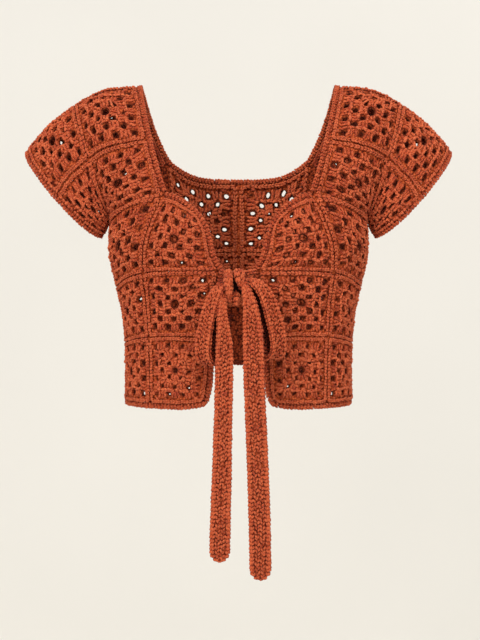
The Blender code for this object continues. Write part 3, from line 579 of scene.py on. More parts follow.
# The share of small openings that are all but closed. On the back it is chosen so that the backdrop
# doesn't show as bright points through two layers of squares. A real back may well be more open.
CLOSED_SHARE = {
    "front": 0.12, "back": 1.0, "back_%s_shoulder_2": 0.85, "back_%s_centre_3": 0.3,
    "back_%s_centre_4": 0.6, "back_%s_centre_5": 0.6, "back_%s_side_5": 0.6,
}
# The squares whose inner side shows through the neck, and how far in their inner stitches lie.
SEEN_INSIDE = ("back_%s_shoulder_2", "back_%s_centre_3", "back_%s_centre_4")
INNER_LEVEL = 1.6
# The inner stitches of the back's centre and neck edging are painted lighter, so that the inside
# reads as lit: their tone is that of yarn this much further out of the cloth.
INNER_LIFT = 3.0
POST_HEIGHT = 1.6
RING_HEIGHT = 1.2
EDGE_HEIGHT = 2.9


def granny_square(rng):
    """The strands of one square, flat: a list of (line, radius) with lines in (x, y, h)."""
    laid = []
    for rows in (ROUND_1, ROUND_2, ROUND_3):
        base, top = (four_sides(part) for part in np.hsplit(np.array(rows), 2))
        laid.append(twisted_posts(base, top, POST_HEIGHT, rng))
        laid.append(bars(base, top, POST_HEIGHT, rng))
    for heads, rise in ((HEADS_1, 2.2), (HEADS_2, 2.3)):
        line = four_sides(np.array(heads))
        ways = np.roll(line, -1, axis=0) - np.roll(line, 1, axis=0)
        pitch = np.linalg.norm(ways, axis=1) / 2
        laid.append(chain_stitches(line, ways, pitch, rise, rng, radius=1.5, aside=1.3, unevenness=0.75))
    turn = np.linspace(0, 2 * np.pi, 21)
    ring = np.stack((CENTRE_RING * np.sin(turn), CENTRE_RING * np.cos(turn), 0 * turn + RING_HEIGHT), axis=-1)
    laid.append((ring[None], 1.0))
    along = (np.arange(EDGE_STITCHES) + 0.5) / EDGE_STITCHES * 2 - 1
    line = four_sides(np.stack((along * EDGE_LINE, 0 * along + EDGE_LINE), axis=-1))
    ways = np.repeat(four_sides(np.array([[1.0, 0.0]])), EDGE_STITCHES, axis=0)
    pitch = 2 * EDGE_LINE / EDGE_STITCHES
    laid.append(chain_stitches(line, ways, pitch, EDGE_HEIGHT, rng, radius=1.25, unevenness=0.3))
    return laid


def openings_of(rng, slack, closed_share):
    """Where one square's openings lie and how wide each is, (n, 3), each a little off its place.

    slack scales them, and the yarn all but closes a share of the small ones.
    """
    places = np.array(OPENINGS)
    found = np.concatenate([four_sides(places[:, :2]), np.tile(places[:, 2:], (4, 1))], axis=1)
    found[:, :2] += rng.normal(0, OPENING_JITTER, (len(found), 2))
    size = slack * rng.uniform(*OPENING_SIZES, len(found))
    closed = rng.random(len(found)) < closed_share
    found[:, 2] *= size * np.where(closed, CLOSED_SIZE, 1.0)
    return np.concatenate([[[0.0, 0.0, CENTRE_OPENING * slack]], found])


def opened(flat, openings, yarn_radius):
    """Pushes what lies near an opening off it: distance d becomes nearest + d * (1 - nearest / reach).

    nearest is the opening's radius plus the yarn's, and reach is PUSHED_WITHIN past that.
    """
    flat = flat.copy()
    for x, y, radius in openings:
        nearest = radius + yarn_radius
        reach = nearest + PUSHED_WITHIN
        away = flat[..., :2] - (x, y)
        distance = np.maximum(np.linalg.norm(away, axis=-1, keepdims=True), 0.05)
        pushed = nearest + distance * (1 - nearest / reach)
        flat[..., :2] += np.where(distance < reach, away / distance * (pushed - distance), 0.0)
    return flat


# The sines of a drift, as size and length in mm, and of a swell: its dome and its two-way wave.
DRIFT = ((1.0, 9.0), (0.6, 6.0), (0.4, 4.0))
DOME = 0.9
WAVE = 0.45
WAVE_LENGTH = 13.0


def drift(first, second, phases):
    """A sum of size * sin(place / length + phase), of places one way, the other and the first again."""
    terms = zip(DRIFT, (first, second, first), phases)
    return sum(size * np.sin(place / length + phase) for (size, length), place, phase in terms)


def uneven(flat, rng):
    """Handwork: a drift of up to 2 mm along the cloth and a swell out of it, that fade at the edge."""
    x, y, h = flat[..., 0], flat[..., 1], flat[..., 2]
    edge = np.clip(np.maximum(np.abs(x), np.abs(y)) / HALF_SQUARE, 0, 1)
    fade = 1 - edge**4
    phase = rng.uniform(0, 2 * np.pi, 8)
    dx, dy = drift(y, x, phase[:3]), drift(x, y, phase[3:6])
    wave = WAVE * np.sin(x / WAVE_LENGTH + phase[6]) * np.sin(y / WAVE_LENGTH + phase[7])
    swell = DOME * (1 - edge**2) + wave
    return np.stack((x + dx * fade, y + dy * fade, h + swell * fade), axis=-1)


def on_square(surface, flat):
    """Carries flat points (x, y, h) onto a square's surface. Returns the points and the way out."""
    u = np.clip(flat[..., 0] / SQUARE_SIDE + 0.5, 0.0, 1.0)
    v = np.clip(flat[..., 1] / SQUARE_SIDE + 0.5, 0.0, 1.0)
    point, _, _, out = frame_at(surface, u, v)
    return point + out * flat[..., 2:3], out


# ---- The cloth: the yarn between the strands, as a thin web with the same openings ----

WEB_CELL = OPENING_STEP / 4
WEB_LINES = np.concatenate([[-HALF_SQUARE], WEB_CELL * np.arange(-16, 17), [HALF_SQUARE]])
WEB_HEIGHT = 1.8
# Below this radius an opening is a dip in the web and not a hole.
SMALLEST_HOLE = 1.0
RIM_DIP = 2.6
RIM_WOBBLE = (0.82, 1.12)
# How much lower the web lies under the rope of stitches round the square, from where, over how far.
RIM_SINK = 0.4
RIM_FROM = 36.0
RIM_OVER = 3.0


def web_piece(name, surface, material, mirrored, seed, openings):
    """A square's web: a grid a little over its surface, its lines crossing in the openings.

    The cells that touch an opening's crossing go. The points round them move onto its uneven
    circle and dip by RIM_DIP, as the wall of the opening, painted dark by the attribute shade as
    painted shade. One that is all but closed only dips, with the same painted shade.
    """
    rng = np.random.default_rng(seed + 1000)
    grid = np.stack(np.meshgrid(WEB_LINES, WEB_LINES, indexing="ij"), axis=-1)
    count = len(WEB_LINES)
    i, j = np.meshgrid(np.arange(count - 1), np.arange(count - 1), indexing="ij")
    centre = (grid[:-1, :-1] + grid[1:, 1:]) / 2
    places = np.concatenate([[[0.0, 0.0]], four_sides(np.array(OPENINGS)[:, :2])])
    keep = np.ones(i.shape, bool)
    edge = np.abs(grid).max(axis=-1, keepdims=True)
    sink = RIM_SINK * np.clip((edge - RIM_FROM) / RIM_OVER, 0.0, 1.0)
    flat = np.concatenate([grid, WEB_HEIGHT - sink], axis=-1)
    # Painted shade in the walls of the openings and in the dips, from 0 to 1.
    shade = np.zeros(grid.shape[:2])
    for number, (place, (x, y, radius)) in enumerate(zip(places, openings)):
        ring = 1 if number else 2
        if radius < SMALLEST_HOLE:
            dip = RIM_DIP * np.clip(1.5 - np.linalg.norm(grid - (x, y), axis=-1) / WEB_CELL, 0.0, 1.0)
            flat[..., 2] -= dip
            shade = np.maximum(shade, dip / RIM_DIP)
            continue
        keep &= np.abs(centre - place).max(axis=-1) > ring * WEB_CELL
        steps = np.round(np.abs(grid - place).max(axis=-1) / WEB_CELL)
        wobble = rng.uniform(*RIM_WOBBLE, grid.shape[:2])[..., None]
        onto = (x, y) + unit(grid - place + 1e-9) * radius * wobble
        flat[..., :2] = np.where((steps == ring)[..., None], onto, flat[..., :2])
        flat[..., 2] -= np.where(steps == ring, RIM_DIP, 0.0)
        shade = np.maximum(shade, steps == ring)
    points, _ = on_square(surface, uneven(flat, np.random.default_rng(seed)))
    first = (i * count + j)[keep]
    faces = np.stack([first, first + 1, first + count + 1, first + count], axis=-1)
    points, (faces,) = on_side(points.reshape(-1, 3), [faces], mirrored)
    used, faces = np.unique(faces, return_inverse=True)
    web = mesh_piece(name, points[used], [faces.reshape(-1, 4)], material)
    point_values(web, "shade", shade.reshape(-1)[used])
    return web


# ---- Edgings ----

EDGING_PITCH = 4.3
CORNER_EASE = 7
# An edging's posts lean by this share of the pitch and run from foot to top, under a row of heads.
EDGING_LEAN = 0.2
EDGING_FOOT = -0.4
EDGING_TOP = 4.0
EDGING_HEADS = 4.3
EDGING_POST_HEIGHT = 1.7
EDGING_HEAD_HEIGHT = 2.0


def edge_run(surfaces, parts):
    """Frames along free edges, end to end: points, the way off the edge and the way out.

    Each part is (square, start (u, v), end (u, v)).
    """
    points, offs, outs = [], [], []
    steps = 25
    for k, (name, start, end) in enumerate(parts):
        t = np.linspace(0, 1, steps)[(1 if k else 0) :]
        u = start[0] + (end[0] - start[0]) * t
        v = start[1] + (end[1] - start[1]) * t
        point, along_u, along_v, out = frame_at(surfaces[name], u, v)
        if start[1] == end[1]:
            along, leads = along_u, along_v * (1 if start[1] > 0.5 else -1)
        else:
            along, leads = along_v, along_u * (1 if start[0] > 0.5 else -1)
        off = unit(np.cross(out, along))
        off = off * np.sign((off * leads).sum(axis=-1, keepdims=True))
        points.append(point)
        offs.append(off)
        outs.append(out)
    points, offs, outs = (np.concatenate(x) for x in (points, offs, outs))
    for _ in range(CORNER_EASE):
        points[1:-1] = (points[:-2] + 2 * points[1:-1] + points[2:]) / 4
        offs[1:-1] = unit(offs[:-2] + 2 * offs[1:-1] + offs[2:])
        outs[1:-1] = unit(outs[:-2] + 2 * outs[1:-1] + outs[2:])
    return points, offs, outs


def read_run(run, at):
    """The run's frames at these distances along it."""
    distance = distances(run[0])
    parts = [np.stack([np.interp(at, distance, part[:, k]) for k in range(3)], axis=-1) for part in run]
    return parts[0], unit(parts[1]), unit(parts[2])


def run_length(run):
    """The length of a run."""
    return float(np.linalg.norm(np.diff(run[0], axis=0), axis=1).sum())


def edging_yarn(name, run, rng, start=0.0, end=0.0, inside=False):
    """An edging: short posts off the edge under a row of heads, carried along the run.

    With inside it has the same stitches on its inner face too.
    """
    length = run_length(run) - start - end
    count = max(2, round(length / EDGING_PITCH))
    pitch = length / count
    along = start + (np.arange(count) + 0.5) * pitch
    yarn = Yarn(name)
    ones, level = 0 * along + 1, 0 * along
    post = twisted_posts(
        np.stack((along - EDGING_LEAN * pitch, level + EDGING_FOOT), axis=-1),
        np.stack((along + EDGING_LEAN * pitch, level + EDGING_TOP), axis=-1),
        EDGING_POST_HEIGHT, rng, radius=1.25, spread=0.85, turns=0.6, steps=5,
    )
    heads = chain_stitches(
        np.stack((along, level + EDGING_HEADS), axis=-1), np.stack((ones, level), axis=-1),
        pitch, EDGING_HEAD_HEIGHT, rng, radius=1.3,
    )
    for line, radius in (post, heads):
        at = np.clip(line[..., 0], start, start + length)
        point, off, out = read_run(run, at)
        rise = line[..., 2]
        yarn.lay(point + off * line[..., 1:2] + out * rise[..., None], out, radius, rng, rise)
        if inside:
            inner_rise = INNER_LEVEL + 0.6 - rise
            place = point + off * line[..., 1:2] + out * inner_rise[..., None]
            yarn.lay(place, out, radius, rng, rise + INNER_LIFT)
    return yarn


EDGING_OFFS = np.array((-1.6, 0.2, 2.2, 4.4))
EDGING_RISES = np.array((1.5, 1.7, 1.7, 1.5))


def edging_web(name, run, material, start=0.0, end=0.0, mirrored=False):
    """The cloth in an edging: a strip (off the edge, out of the cloth) carried along the run."""
    length = run_length(run)
    at = np.linspace(start, length - end, max(4, int(length / 4)))
    point, off, out = read_run(run, at)
    strip = (
        point[:, None]
        + off[:, None] * EDGING_OFFS[None, :, None]
        + out[:, None] * EDGING_RISES[None, :, None]
    )
    width = len(EDGING_OFFS)
    first = (width * np.arange(len(at) - 1)[:, None] + np.arange(width - 1)).reshape(-1)
    faces = np.stack([first, first + 1, first + width + 1, first + width], axis=-1)
    way = np.cross(strip[0, 1] - strip[0, 0], strip[1, 0] - strip[0, 0]) @ out[0]
    if way >= 0:
        faces = faces[:, ::-1]
    return mesh_piece(name, *on_side(strip.reshape(-1, 3), [faces], mirrored), material)


def mirrored_run(run):
    """The same run on the wearer's right, in the opposite order."""
    return tuple(part[::-1] * MIRROR for part in run)


def whole_run(run):
    """A run that ends on the back's middle, carried on over the wearer's right side."""
    return tuple(np.concatenate([a, b[1:]]) for a, b in zip(run, mirrored_run(run)))


# ---- The tie ----

# A row of a strap: x, y and z of its middle line, its width, and its turn about the upright in degrees.
LEFT_LOOP = (
    (2.0, -108.0, -238.5, 12.0, -40.0),
    (10.0, -112.5, -239.7, 14.0, -44.0),
    (20.6, -117.0, -243.5, 18.0, -45.0),
    (30.0, -119.0, -253.5, 21.0, -45.0),
    (37.0, -119.0, -269.0, 22.5, -45.0),
    (42.0, -119.0, -287.0, 23.5, -45.0),
    (46.4, -118.0, -307.5, 23.5, -45.0),
    (47.0, -116.5, -321.0, 23.5, -45.0),
    (43.5, -113.5, -329.0, 23.5, -45.0),
    (38.0, -109.5, -330.0, 23.5, -45.0),
    (34.5, -107.5, -322.0, 23.5, -45.0),
    (33.0, -107.0, -306.0, 23.5, -45.0),
    (31.0, -107.0, -288.0, 22.0, -45.0),
    (27.0, -106.5, -270.0, 20.0, -42.0),
    (19.0, -105.5, -256.0, 17.0, -36.0),
    (9.0, -105.0, -248.0, 15.0, -25.0),
    (2.0, -105.0, -245.0, 15.0, -20.0),
)
RIGHT_LOOP = (
    (-12.0, -108.0, -238.0, 13.0, 40.0),
    (-20.0, -112.5, -246.5, 14.0, 44.0),
    (-26.5, -117.0, -256.0, 18.0, 45.0),
    (-32.0, -119.0, -270.0, 21.0, 45.0),
    (-37.3, -119.0, -289.0, 22.5, 45.0),
    (-40.8, -118.0, -310.0, 23.5, 45.0),
    (-41.5, -117.0, -326.0, 23.5, 45.0),
    (-38.0, -114.0, -336.5, 23.5, 45.0),
    (-32.5, -110.0, -337.0, 23.5, 45.0),
    (-29.5, -107.5, -328.0, 23.5, 45.0),
    (-28.5, -107.0, -308.0, 23.5, 45.0),
    (-27.0, -107.0, -287.0, 22.0, 45.0),
    (-24.0, -106.5, -270.0, 20.0, 42.0),
    (-18.0, -105.5, -255.0, 17.0, 36.0),
    (-9.0, -105.0, -246.0, 15.0, 25.0),
)
LEFT_END = (
    (3.0, -112.0, -238.0, 5.0, 25.0),
    (6.4, -118.5, -243.0, 7.0, 25.0),
    (9.6, -125.0, -252.5, 10.5, 25.0),
    (13.8, -128.6, -269.0, 16.5, 24.0),
    (16.3, -128.5, -292.0, 22.0, 22.0),
    (17.5, -127.5, -315.0, 23.5, 14.0),
    (18.5, -126.5, -360.0, 23.5, 8.0),
    (21.9, -125.0, -439.0, 24.0, 4.0),
    (24.9, -124.0, -522.0, 24.5, 2.0),
    (26.2, -123.0, -595.0, 24.5, 0.0),
)
RIGHT_END = (
    (-12.5, -109.0, -246.0, 4.0, -30.0),
    (-16.6, -114.5, -255.0, 6.0, -32.0),
    (-18.6, -122.5, -267.0, 9.6, -36.0),
    (-18.6, -127.6, -283.0, 13.0, -38.0),
    (-17.2, -128.0, -300.0, 16.5, -32.0),
    (-16.4, -127.0, -327.0, 20.0, -18.0),
    (-17.9, -125.5, -404.0, 20.5, -8.0),
    (-19.7, -124.0, -475.0, 22.0, -4.0),
    (-21.2, -123.5, -522.0, 23.0, -2.0),
    (-22.4, -123.0, -573.0, 23.5, 0.0),
)
LEFT_ROOT = (
    (20.8, -101.2, -229.8, 8.4, 90.0),
    (11.5, -103.5, -231.6, 9.0, 90.0),
    (3.0, -106.5, -232.8, 9.0, 90.0),
)
RIGHT_ROOT = (
    (-21.0, -100.9, -229.8, 8.4, 90.0),
    (-15.5, -103.6, -231.6, 9.0, 90.0),
    (-10.0, -107.0, -235.0, 9.0, 90.0),
)
# The knot: a strap wound over its front, a bump beside that, and two short ends below.
KNOT_WRAP = (
    (-11.0, -105.0, -236.0, 6.0, 0.0),
    (-11.4, -112.5, -232.4, 8.4, 0.0),
    (-11.7, -118.4, -235.0, 9.4, 2.0),
    (-11.5, -120.6, -242.5, 9.4, 4.0),
    (-11.0, -120.2, -250.0, 8.2, 6.0),
    (-10.4, -117.5, -257.0, 6.0, 8.0),
    (-10.0, -112.0, -261.5, 4.5, 8.0),
)
KNOT_BUMP = (
    (-1.0, -104.0, -237.0, 8.0, -6.0),
    (0.4, -110.0, -232.6, 11.5, -6.0),
    (1.2, -116.4, -232.2, 12.5, -6.0),
    (1.8, -119.4, -237.0, 11.5, -10.0),
    (2.6, -118.0, -243.0, 8.5, -14.0),
    (3.6, -113.0, -248.5, 6.0, -18.0),
)
KNOT_TAILS = (
    (
        (-9.4, -108.5, -254.5, 4.5, 10.0), (-9.9, -113.0, -257.8, 6.0, 10.0),
        (-10.0, -115.0, -261.5, 6.2, 10.0), (-9.8, -114.0, -265.5, 5.6, 10.0),
    ),
    (
        (-3.2, -107.5, -254.0, 5.5, -8.0), (-2.6, -112.5, -257.4, 7.4, -8.0),
        (-2.1, -115.0, -263.0, 7.8, -8.0), (-1.8, -114.0, -269.8, 7.0, -8.0),
    ),
)
KNOT_CROWNS = {"wrap": 3.0, "bump": 3.0, "tail_1": 2.0, "tail_2": 2.2}
KNOT_CENTRE = np.array((-5.0, -107.5, -245.0))
KNOT_RADII = np.array((12.0, 6.5, 16.5))
STRAP_ROW = 4.7
# Tones chosen, as mm of height over the cloth: painted shade on yarn that runs into the knot, and
# on a loop's return half behind its front half, and painted light on all the straps' yarn. Then how
# steeply the painted shade fades.
PAINTED_SHADE_DROP = 3.4
STRAP_PAINTED_LIGHT = 1.6
PAINTED_SHADE_STEEP = 1.5
# How far inside a strap's edge its slanting stitches and its heads lie, and its cloth.
STITCH_INSET = 2.6
HEAD_INSET = 1.7
CORE_INSET = 1.2
CORE_SIDES = 12
CORE_HALF_THICKNESS = 0.9
# A slanting stitch runs from foot to head, as shares of the pitch and of its half column's width.
STITCH_FOOT = (-0.55, 0.1)
STITCH_HEAD = (0.5, 1.0)
STITCH_STEPS = np.linspace(0, 1, 5)
STITCH_RISE = 0.6 + 1.2 * np.sin(np.pi * STITCH_STEPS)
STITCH_JITTER = 0.5
STITCH_RISE_JITTER = 0.35
STRAP_HEAD_HEIGHT = 1.0
STITCH_RADIUS = 1.42
HEAD_RADIUS = 1.5
BALL_RINGS = 11
BALL_SIDES = 24


def strap_run(rows):
    """A strap's middle line finely read: points, the way across, the way out and half its width."""
    rows = np.array(rows)
    at = np.linspace(0, len(rows) - 1, 12 * len(rows))
    read = curve_through(rows, at)
    points = read[:, :3]
    along = unit(np.gradient(points, axis=0))
    turn = np.radians(read[:, 4])
    across = np.stack((np.cos(turn), -np.sin(turn), 0 * turn), axis=-1)
    across = unit(across - along * (across * along).sum(axis=1, keepdims=True))
    return points, across, unit(np.cross(along, across)), read[:, 3] / 2


class Strap:
    """A crocheted strap along a run, with its stitches and the solid cloth between them."""

    def __init__(self, rows, rounded_end=False, crown=0.0, shaded_ends=(0.1, 0.1)):
        self.run = strap_run(rows)
        self.crown = crown
        self.shaded_ends = shaded_ends
        self.distance = distances(self.run[0])
        self.length = self.distance[-1]
        self.rounded_end = rounded_end

    def half_at(self, at):
        """Half the width. At a rounded end it is half * sqrt(1 - reach^2), reach being its share."""
        half = self.run[3]
        width = np.interp(at, self.distance, half)
        if self.rounded_end:
            reach = np.clip((at - (self.length - half[-1])) / half[-1], 0.0, 0.97)
            width = width * np.sqrt(1 - reach**2)
        return width

    def painted_shade_at(self, at):
        """How much painted shade a place gets, 1 at a shaded start or end, fading over its length."""
        start, end = self.shaded_ends
        return np.clip(PAINTED_SHADE_STEEP * np.maximum(1 - at / start, 1 - (self.length - at) / end), 0.0, 1.0)

    def crowned(self, flat):
        """How far a rounded strap's face lies out at (along, aside): crown * (1 - share^2)."""
        share = np.clip(flat[..., 1] / np.maximum(self.half_at(flat[..., 0]), 0.5), -1.0, 1.0)
        return self.crown * (1 - share**2)

    def limit_at(self, aside):
        """How far along yarn may lie: at a rounded end, to a half circle about its last centre."""
        if not self.rounded_end:
            return self.length + 0 * aside
        half = self.run[3][-1] - 1.0
        return self.length - self.run[3][-1] + np.sqrt(np.maximum(half**2 - aside**2, 0.0))

    def carried(self, flat):
        """Points (along, aside, h) brought onto the strap, and the way out of it there."""
        at = np.clip(flat[..., 0], 0.0, self.length)
        middle, across, out = (
            np.stack([np.interp(at, self.distance, part[:, k]) for k in range(3)], axis=-1)
            for part in self.run[:3]
        )
        across, out = unit(across), unit(out)
        return middle + across * flat[..., 1:2] + out * flat[..., 2:3], out

    def yarn(self, name, rng, columns=3):
        """Rows of slanting stitches on both faces, and heads along both edges."""
        count = max(2, round(self.length / STRAP_ROW))
        pitch = self.length / count
        along = (np.arange(count) + 0.5) * pitch
        inner = np.maximum(self.half_at(along) - STITCH_INSET, 0.5)
        yarn = Yarn(name)
        laid = []
        for face in (-1.0, 1.0):
            for c in range(columns):
                middle = ((c + 0.5) / columns * 2 - 1) * inner
                reach = inner / columns
                for side in (-1.0, 1.0):
                    foot, head = (
                        np.stack((along + ahead * pitch, middle + aside * side * reach), axis=-1)
                        for ahead, aside in (STITCH_FOOT, STITCH_HEAD)
                    )
                    line = foot[:, None] + (head - foot)[:, None] * STITCH_STEPS[None, :, None]
                    line = line + (0.5 * pitch * (c % 2), 0.0)
                    line = line + rng.normal(0, STITCH_JITTER, (count, 1, 2))
                    rise = STITCH_RISE[None] + rng.normal(0, STITCH_RISE_JITTER, (count, 1))
                    laid.append((line, face, rise, STITCH_RADIUS))
        for side in (-1.0, 1.0):
            edge = np.stack((along, side * (self.half_at(along) - HEAD_INSET)), axis=-1)
            ways = np.gradient(edge, axis=0)
            for face in (1.0, -1.0):
                line, radius = chain_stitches(
                    edge, ways, pitch, STRAP_HEAD_HEIGHT, rng, radius=HEAD_RADIUS, aside=1.0
                )
                laid.append((line[..., :2], face, line[..., 2], radius))
        for line, face, rise, radius in laid:
            line = np.stack((np.minimum(line[..., 0], self.limit_at(line[..., 1])), line[..., 1]), axis=-1)
            out_of_it = face * (rise + self.crowned(line))
            place, out = self.carried(np.concatenate([line, out_of_it[..., None]], axis=-1))
            # Straps get painted light, and painted shade where they run into the knot and along a loop's
            # return half.
            tone_height = rise + STRAP_PAINTED_LIGHT - PAINTED_SHADE_DROP * self.painted_shade_at(line[..., 0])
            yarn.lay(place, out, radius * rng.uniform(0.9, 1.1, (len(line), 1)), rng, tone_height)
        return yarn

    def core(self, name, material):
        """The cloth inside: an oval, (half * cos t, (0.9 + its crown) * sin t), carried along and closed."""
        at = np.linspace(0.3, self.length - 0.6, max(6, int(self.length / 3)))
        turn = np.linspace(0, 2 * np.pi, CORE_SIDES + 1)[:-1]
        half = np.maximum(self.half_at(at) - CORE_INSET, 0.6)[:, None]
        flat = np.stack(np.broadcast_arrays(at[:, None], half * np.cos(turn)), axis=-1)
        thick = (CORE_HALF_THICKNESS + self.crowned(flat)) * np.sin(turn)
        points, _ = self.carried(np.concatenate([flat, thick[..., None]], axis=-1))
        points = np.concatenate([points.reshape(-1, 3), points[0].mean(0)[None], points[-1].mean(0)[None]])
        core = mesh_piece(name, points * MM, tube_faces(len(at), CORE_SIDES), material)
        # Painted shade, where the strap runs into the knot and along a loop's return half.
        depth = self.painted_shade_at(at)
        point_values(core, "shade", np.concatenate([np.repeat(depth, CORE_SIDES), depth[:1], depth[-1:]]))
        return core


def knot_shade_core(material):
    """The inside of the knot: an oval ball, centre + radii * (sin a cos b, sin a sin b, cos a). It is
    painted all in shade, as painted shade that shows in the gaps between the straps.
    """
    rise = np.linspace(0, np.pi, BALL_RINGS + 2)[1:-1, None]
    turn = np.linspace(0, 2 * np.pi, BALL_SIDES + 1)[None, :-1]
    ball = np.stack(
        np.broadcast_arrays(np.sin(rise) * np.cos(turn), np.sin(rise) * np.sin(turn), np.cos(rise)), axis=-1
    ).reshape(-1, 3)
    points = KNOT_CENTRE + KNOT_RADII * np.concatenate([ball, [(0, 0, 1), (0, 0, -1)]])
    tris, quads = (group[:, ::-1] for group in tube_faces(BALL_RINGS, BALL_SIDES))
    core = mesh_piece("tie_knot_painted_shade_core", points * MM, [tris, np.roll(quads, 1, axis=1)], material)
    # Painted shade all over.
    point_values(core, "shade", np.ones(len(points)))
    return core


# ---- Materials ----


def linear(code):
    """An sRGB hex colour as linear red, green, blue and alpha."""
    values = [int(code[k : k + 2], 16) / 255 for k in (1, 3, 5)]
    return (*[v / 12.92 if v <= 0.04045 else ((v + 0.055) / 1.055) ** 2.4 for v in values], 1.0)


def set_inputs(tree, node, **inputs):
    """Gives a node's inputs a value or a link: _0 is its first input, Base_Color the one so named.

    A node stands for its own first output.
    """
    for key, value in inputs.items():
        socket = node.inputs[int(key[1:]) if key[1:].isdigit() else key.replace("_", " ")]
        if isinstance(value, bpy.types.Node):
            value = value.outputs[0]
        if isinstance(value, bpy.types.NodeSocket):
            tree.links.new(value, socket)
        else:
            socket.default_value = value


def add_node(tree, kind, settings=(), stops=(), **inputs):
    """A node with its settings, its inputs and, on a ramp, its stops of place and sRGB hex colour."""
    node = tree.nodes.new(kind)
    for name, value in settings:
        setattr(node, name, value)
    for place, _ in stops[1:-1]:
        node.color_ramp.elements.new(place)
    for index, (place, code) in enumerate(stops):
        element = node.color_ramp.elements[index]
        element.position, element.color = place, linear(code)
    set_inputs(tree, node, **inputs)
    return node


def blank_material(name):
    """A material with only its shader and output, and add_node and set_inputs for its tree."""
    material = bpy.data.materials.new(name)
    material.use_nodes = True
    tree = material.node_tree
    finish = functools.partial(set_inputs, tree, tree.nodes["Principled BSDF"])
    return material, functools.partial(add_node, tree), finish


TIMES = [("operation", "MULTIPLY")]
TIMES_PLUS = [("operation", "MULTIPLY_ADD")]
PLUS_WITHIN_0_1 = [("operation", "ADD"), ("use_clamp", True)]
COLOUR = [("data_type", "RGBA")]
# The yarn's plies, how far apart they are drawn along it, and how far apart its mossy bumps are, in mm.
PLIES = 3.0
PLY_PITCH = 3.6
MOSS_PITCH = 3.2


def cotton_yarn():
    """Cotton, three plies twisted: matt, with slanting plies, flecks of redder dye and fine fuzz.

    Plies of such yarn lie about 2 mm apart, and are drawn PLY_PITCH apart, so that they show.
    Its colour is darker between the plies, as painted shade, and follows the attribute tone: each
    strand's own tone, with painted shade and painted light.
    Noise scales are per metre: the fuzz is 0.7 mm across, the flecks 5 mm and soft patches 14 mm.
    """
    material, add, finish = blank_material("rust_cotton_yarn")
    place = add("ShaderNodeTexCoord").outputs["Object"]
    split = add("ShaderNodeSeparateXYZ", _0=add("ShaderNodeUVMap", [("uv_map", "strand")]))
    turns = add("ShaderNodeMath", TIMES, _0=split.outputs[1], _1=PLIES)
    run = add("ShaderNodeMath", TIMES_PLUS, _0=split.outputs[0], _1=1 / PLY_PITCH, _2=turns)
    angle = add("ShaderNodeMath", TIMES, _0=run, _1=2 * math.pi)
    ply = add("ShaderNodeMath", [("operation", "SINE")], _0=angle)
    fuzz = add("ShaderNodeTexNoise", Vector=place, Scale=1500.0, Detail=3.0, Roughness=0.65).outputs["Fac"]
    patch = add("ShaderNodeTexNoise", Vector=place, Scale=70.0, Detail=2.0).outputs["Fac"]
    tone = add("ShaderNodeAttribute", [("attribute_name", "tone")]).outputs["Fac"]
    # Each strand's own tone, the painted shade and light held in the attribute tone, and painted shade
    # between the plies.
    painted_shade_and_tone = add("ShaderNodeMath", TIMES_PLUS, _0=tone, _1=0.17, _2=0.5)
    painted_shade_and_tone = add("ShaderNodeMath", TIMES_PLUS, _0=ply, _1=0.2, _2=painted_shade_and_tone)
    drift = add("ShaderNodeMath", TIMES_PLUS, _0=patch, _1=0.5, _2=-0.25)
    mix = add("ShaderNodeMath", PLUS_WITHIN_0_1, _0=painted_shade_and_tone, _1=drift)
    fleck = add("ShaderNodeMath", TIMES_PLUS, _0=fuzz, _1=0.5, _2=-0.25)
    mix = add("ShaderNodeMath", PLUS_WITHIN_0_1, _0=mix, _1=fleck)
    colour = add("ShaderNodeValToRGB", stops=((0.05, "#571408"), (0.5, "#b9451f"), (0.95, "#e57144")), _0=mix)
    dye = add("ShaderNodeTexNoise", Vector=place, Scale=190.0, Detail=2.0).outputs["Fac"]
    share = add("ShaderNodeMapRange", Value=dye, From_Min=0.5, From_Max=0.72, To_Max=0.42)
    dyed = add("ShaderNodeMix", COLOUR, _0=share, _6=colour, _7=linear("#a5342c"))
    plies = add("ShaderNodeBump", Height=ply, Strength=0.9, Distance=0.0004)
    bump = add("ShaderNodeBump", Height=fuzz, Normal=plies, Strength=0.8, Distance=0.0004)
    finish(Base_Color=dyed.outputs[2], Normal=bump, Roughness=0.88, Specular_IOR_Level=0.25)
    finish(Sheen_Weight=0.25, Sheen_Roughness=0.5, Sheen_Tint=linear("#f0a98c"))
    return material


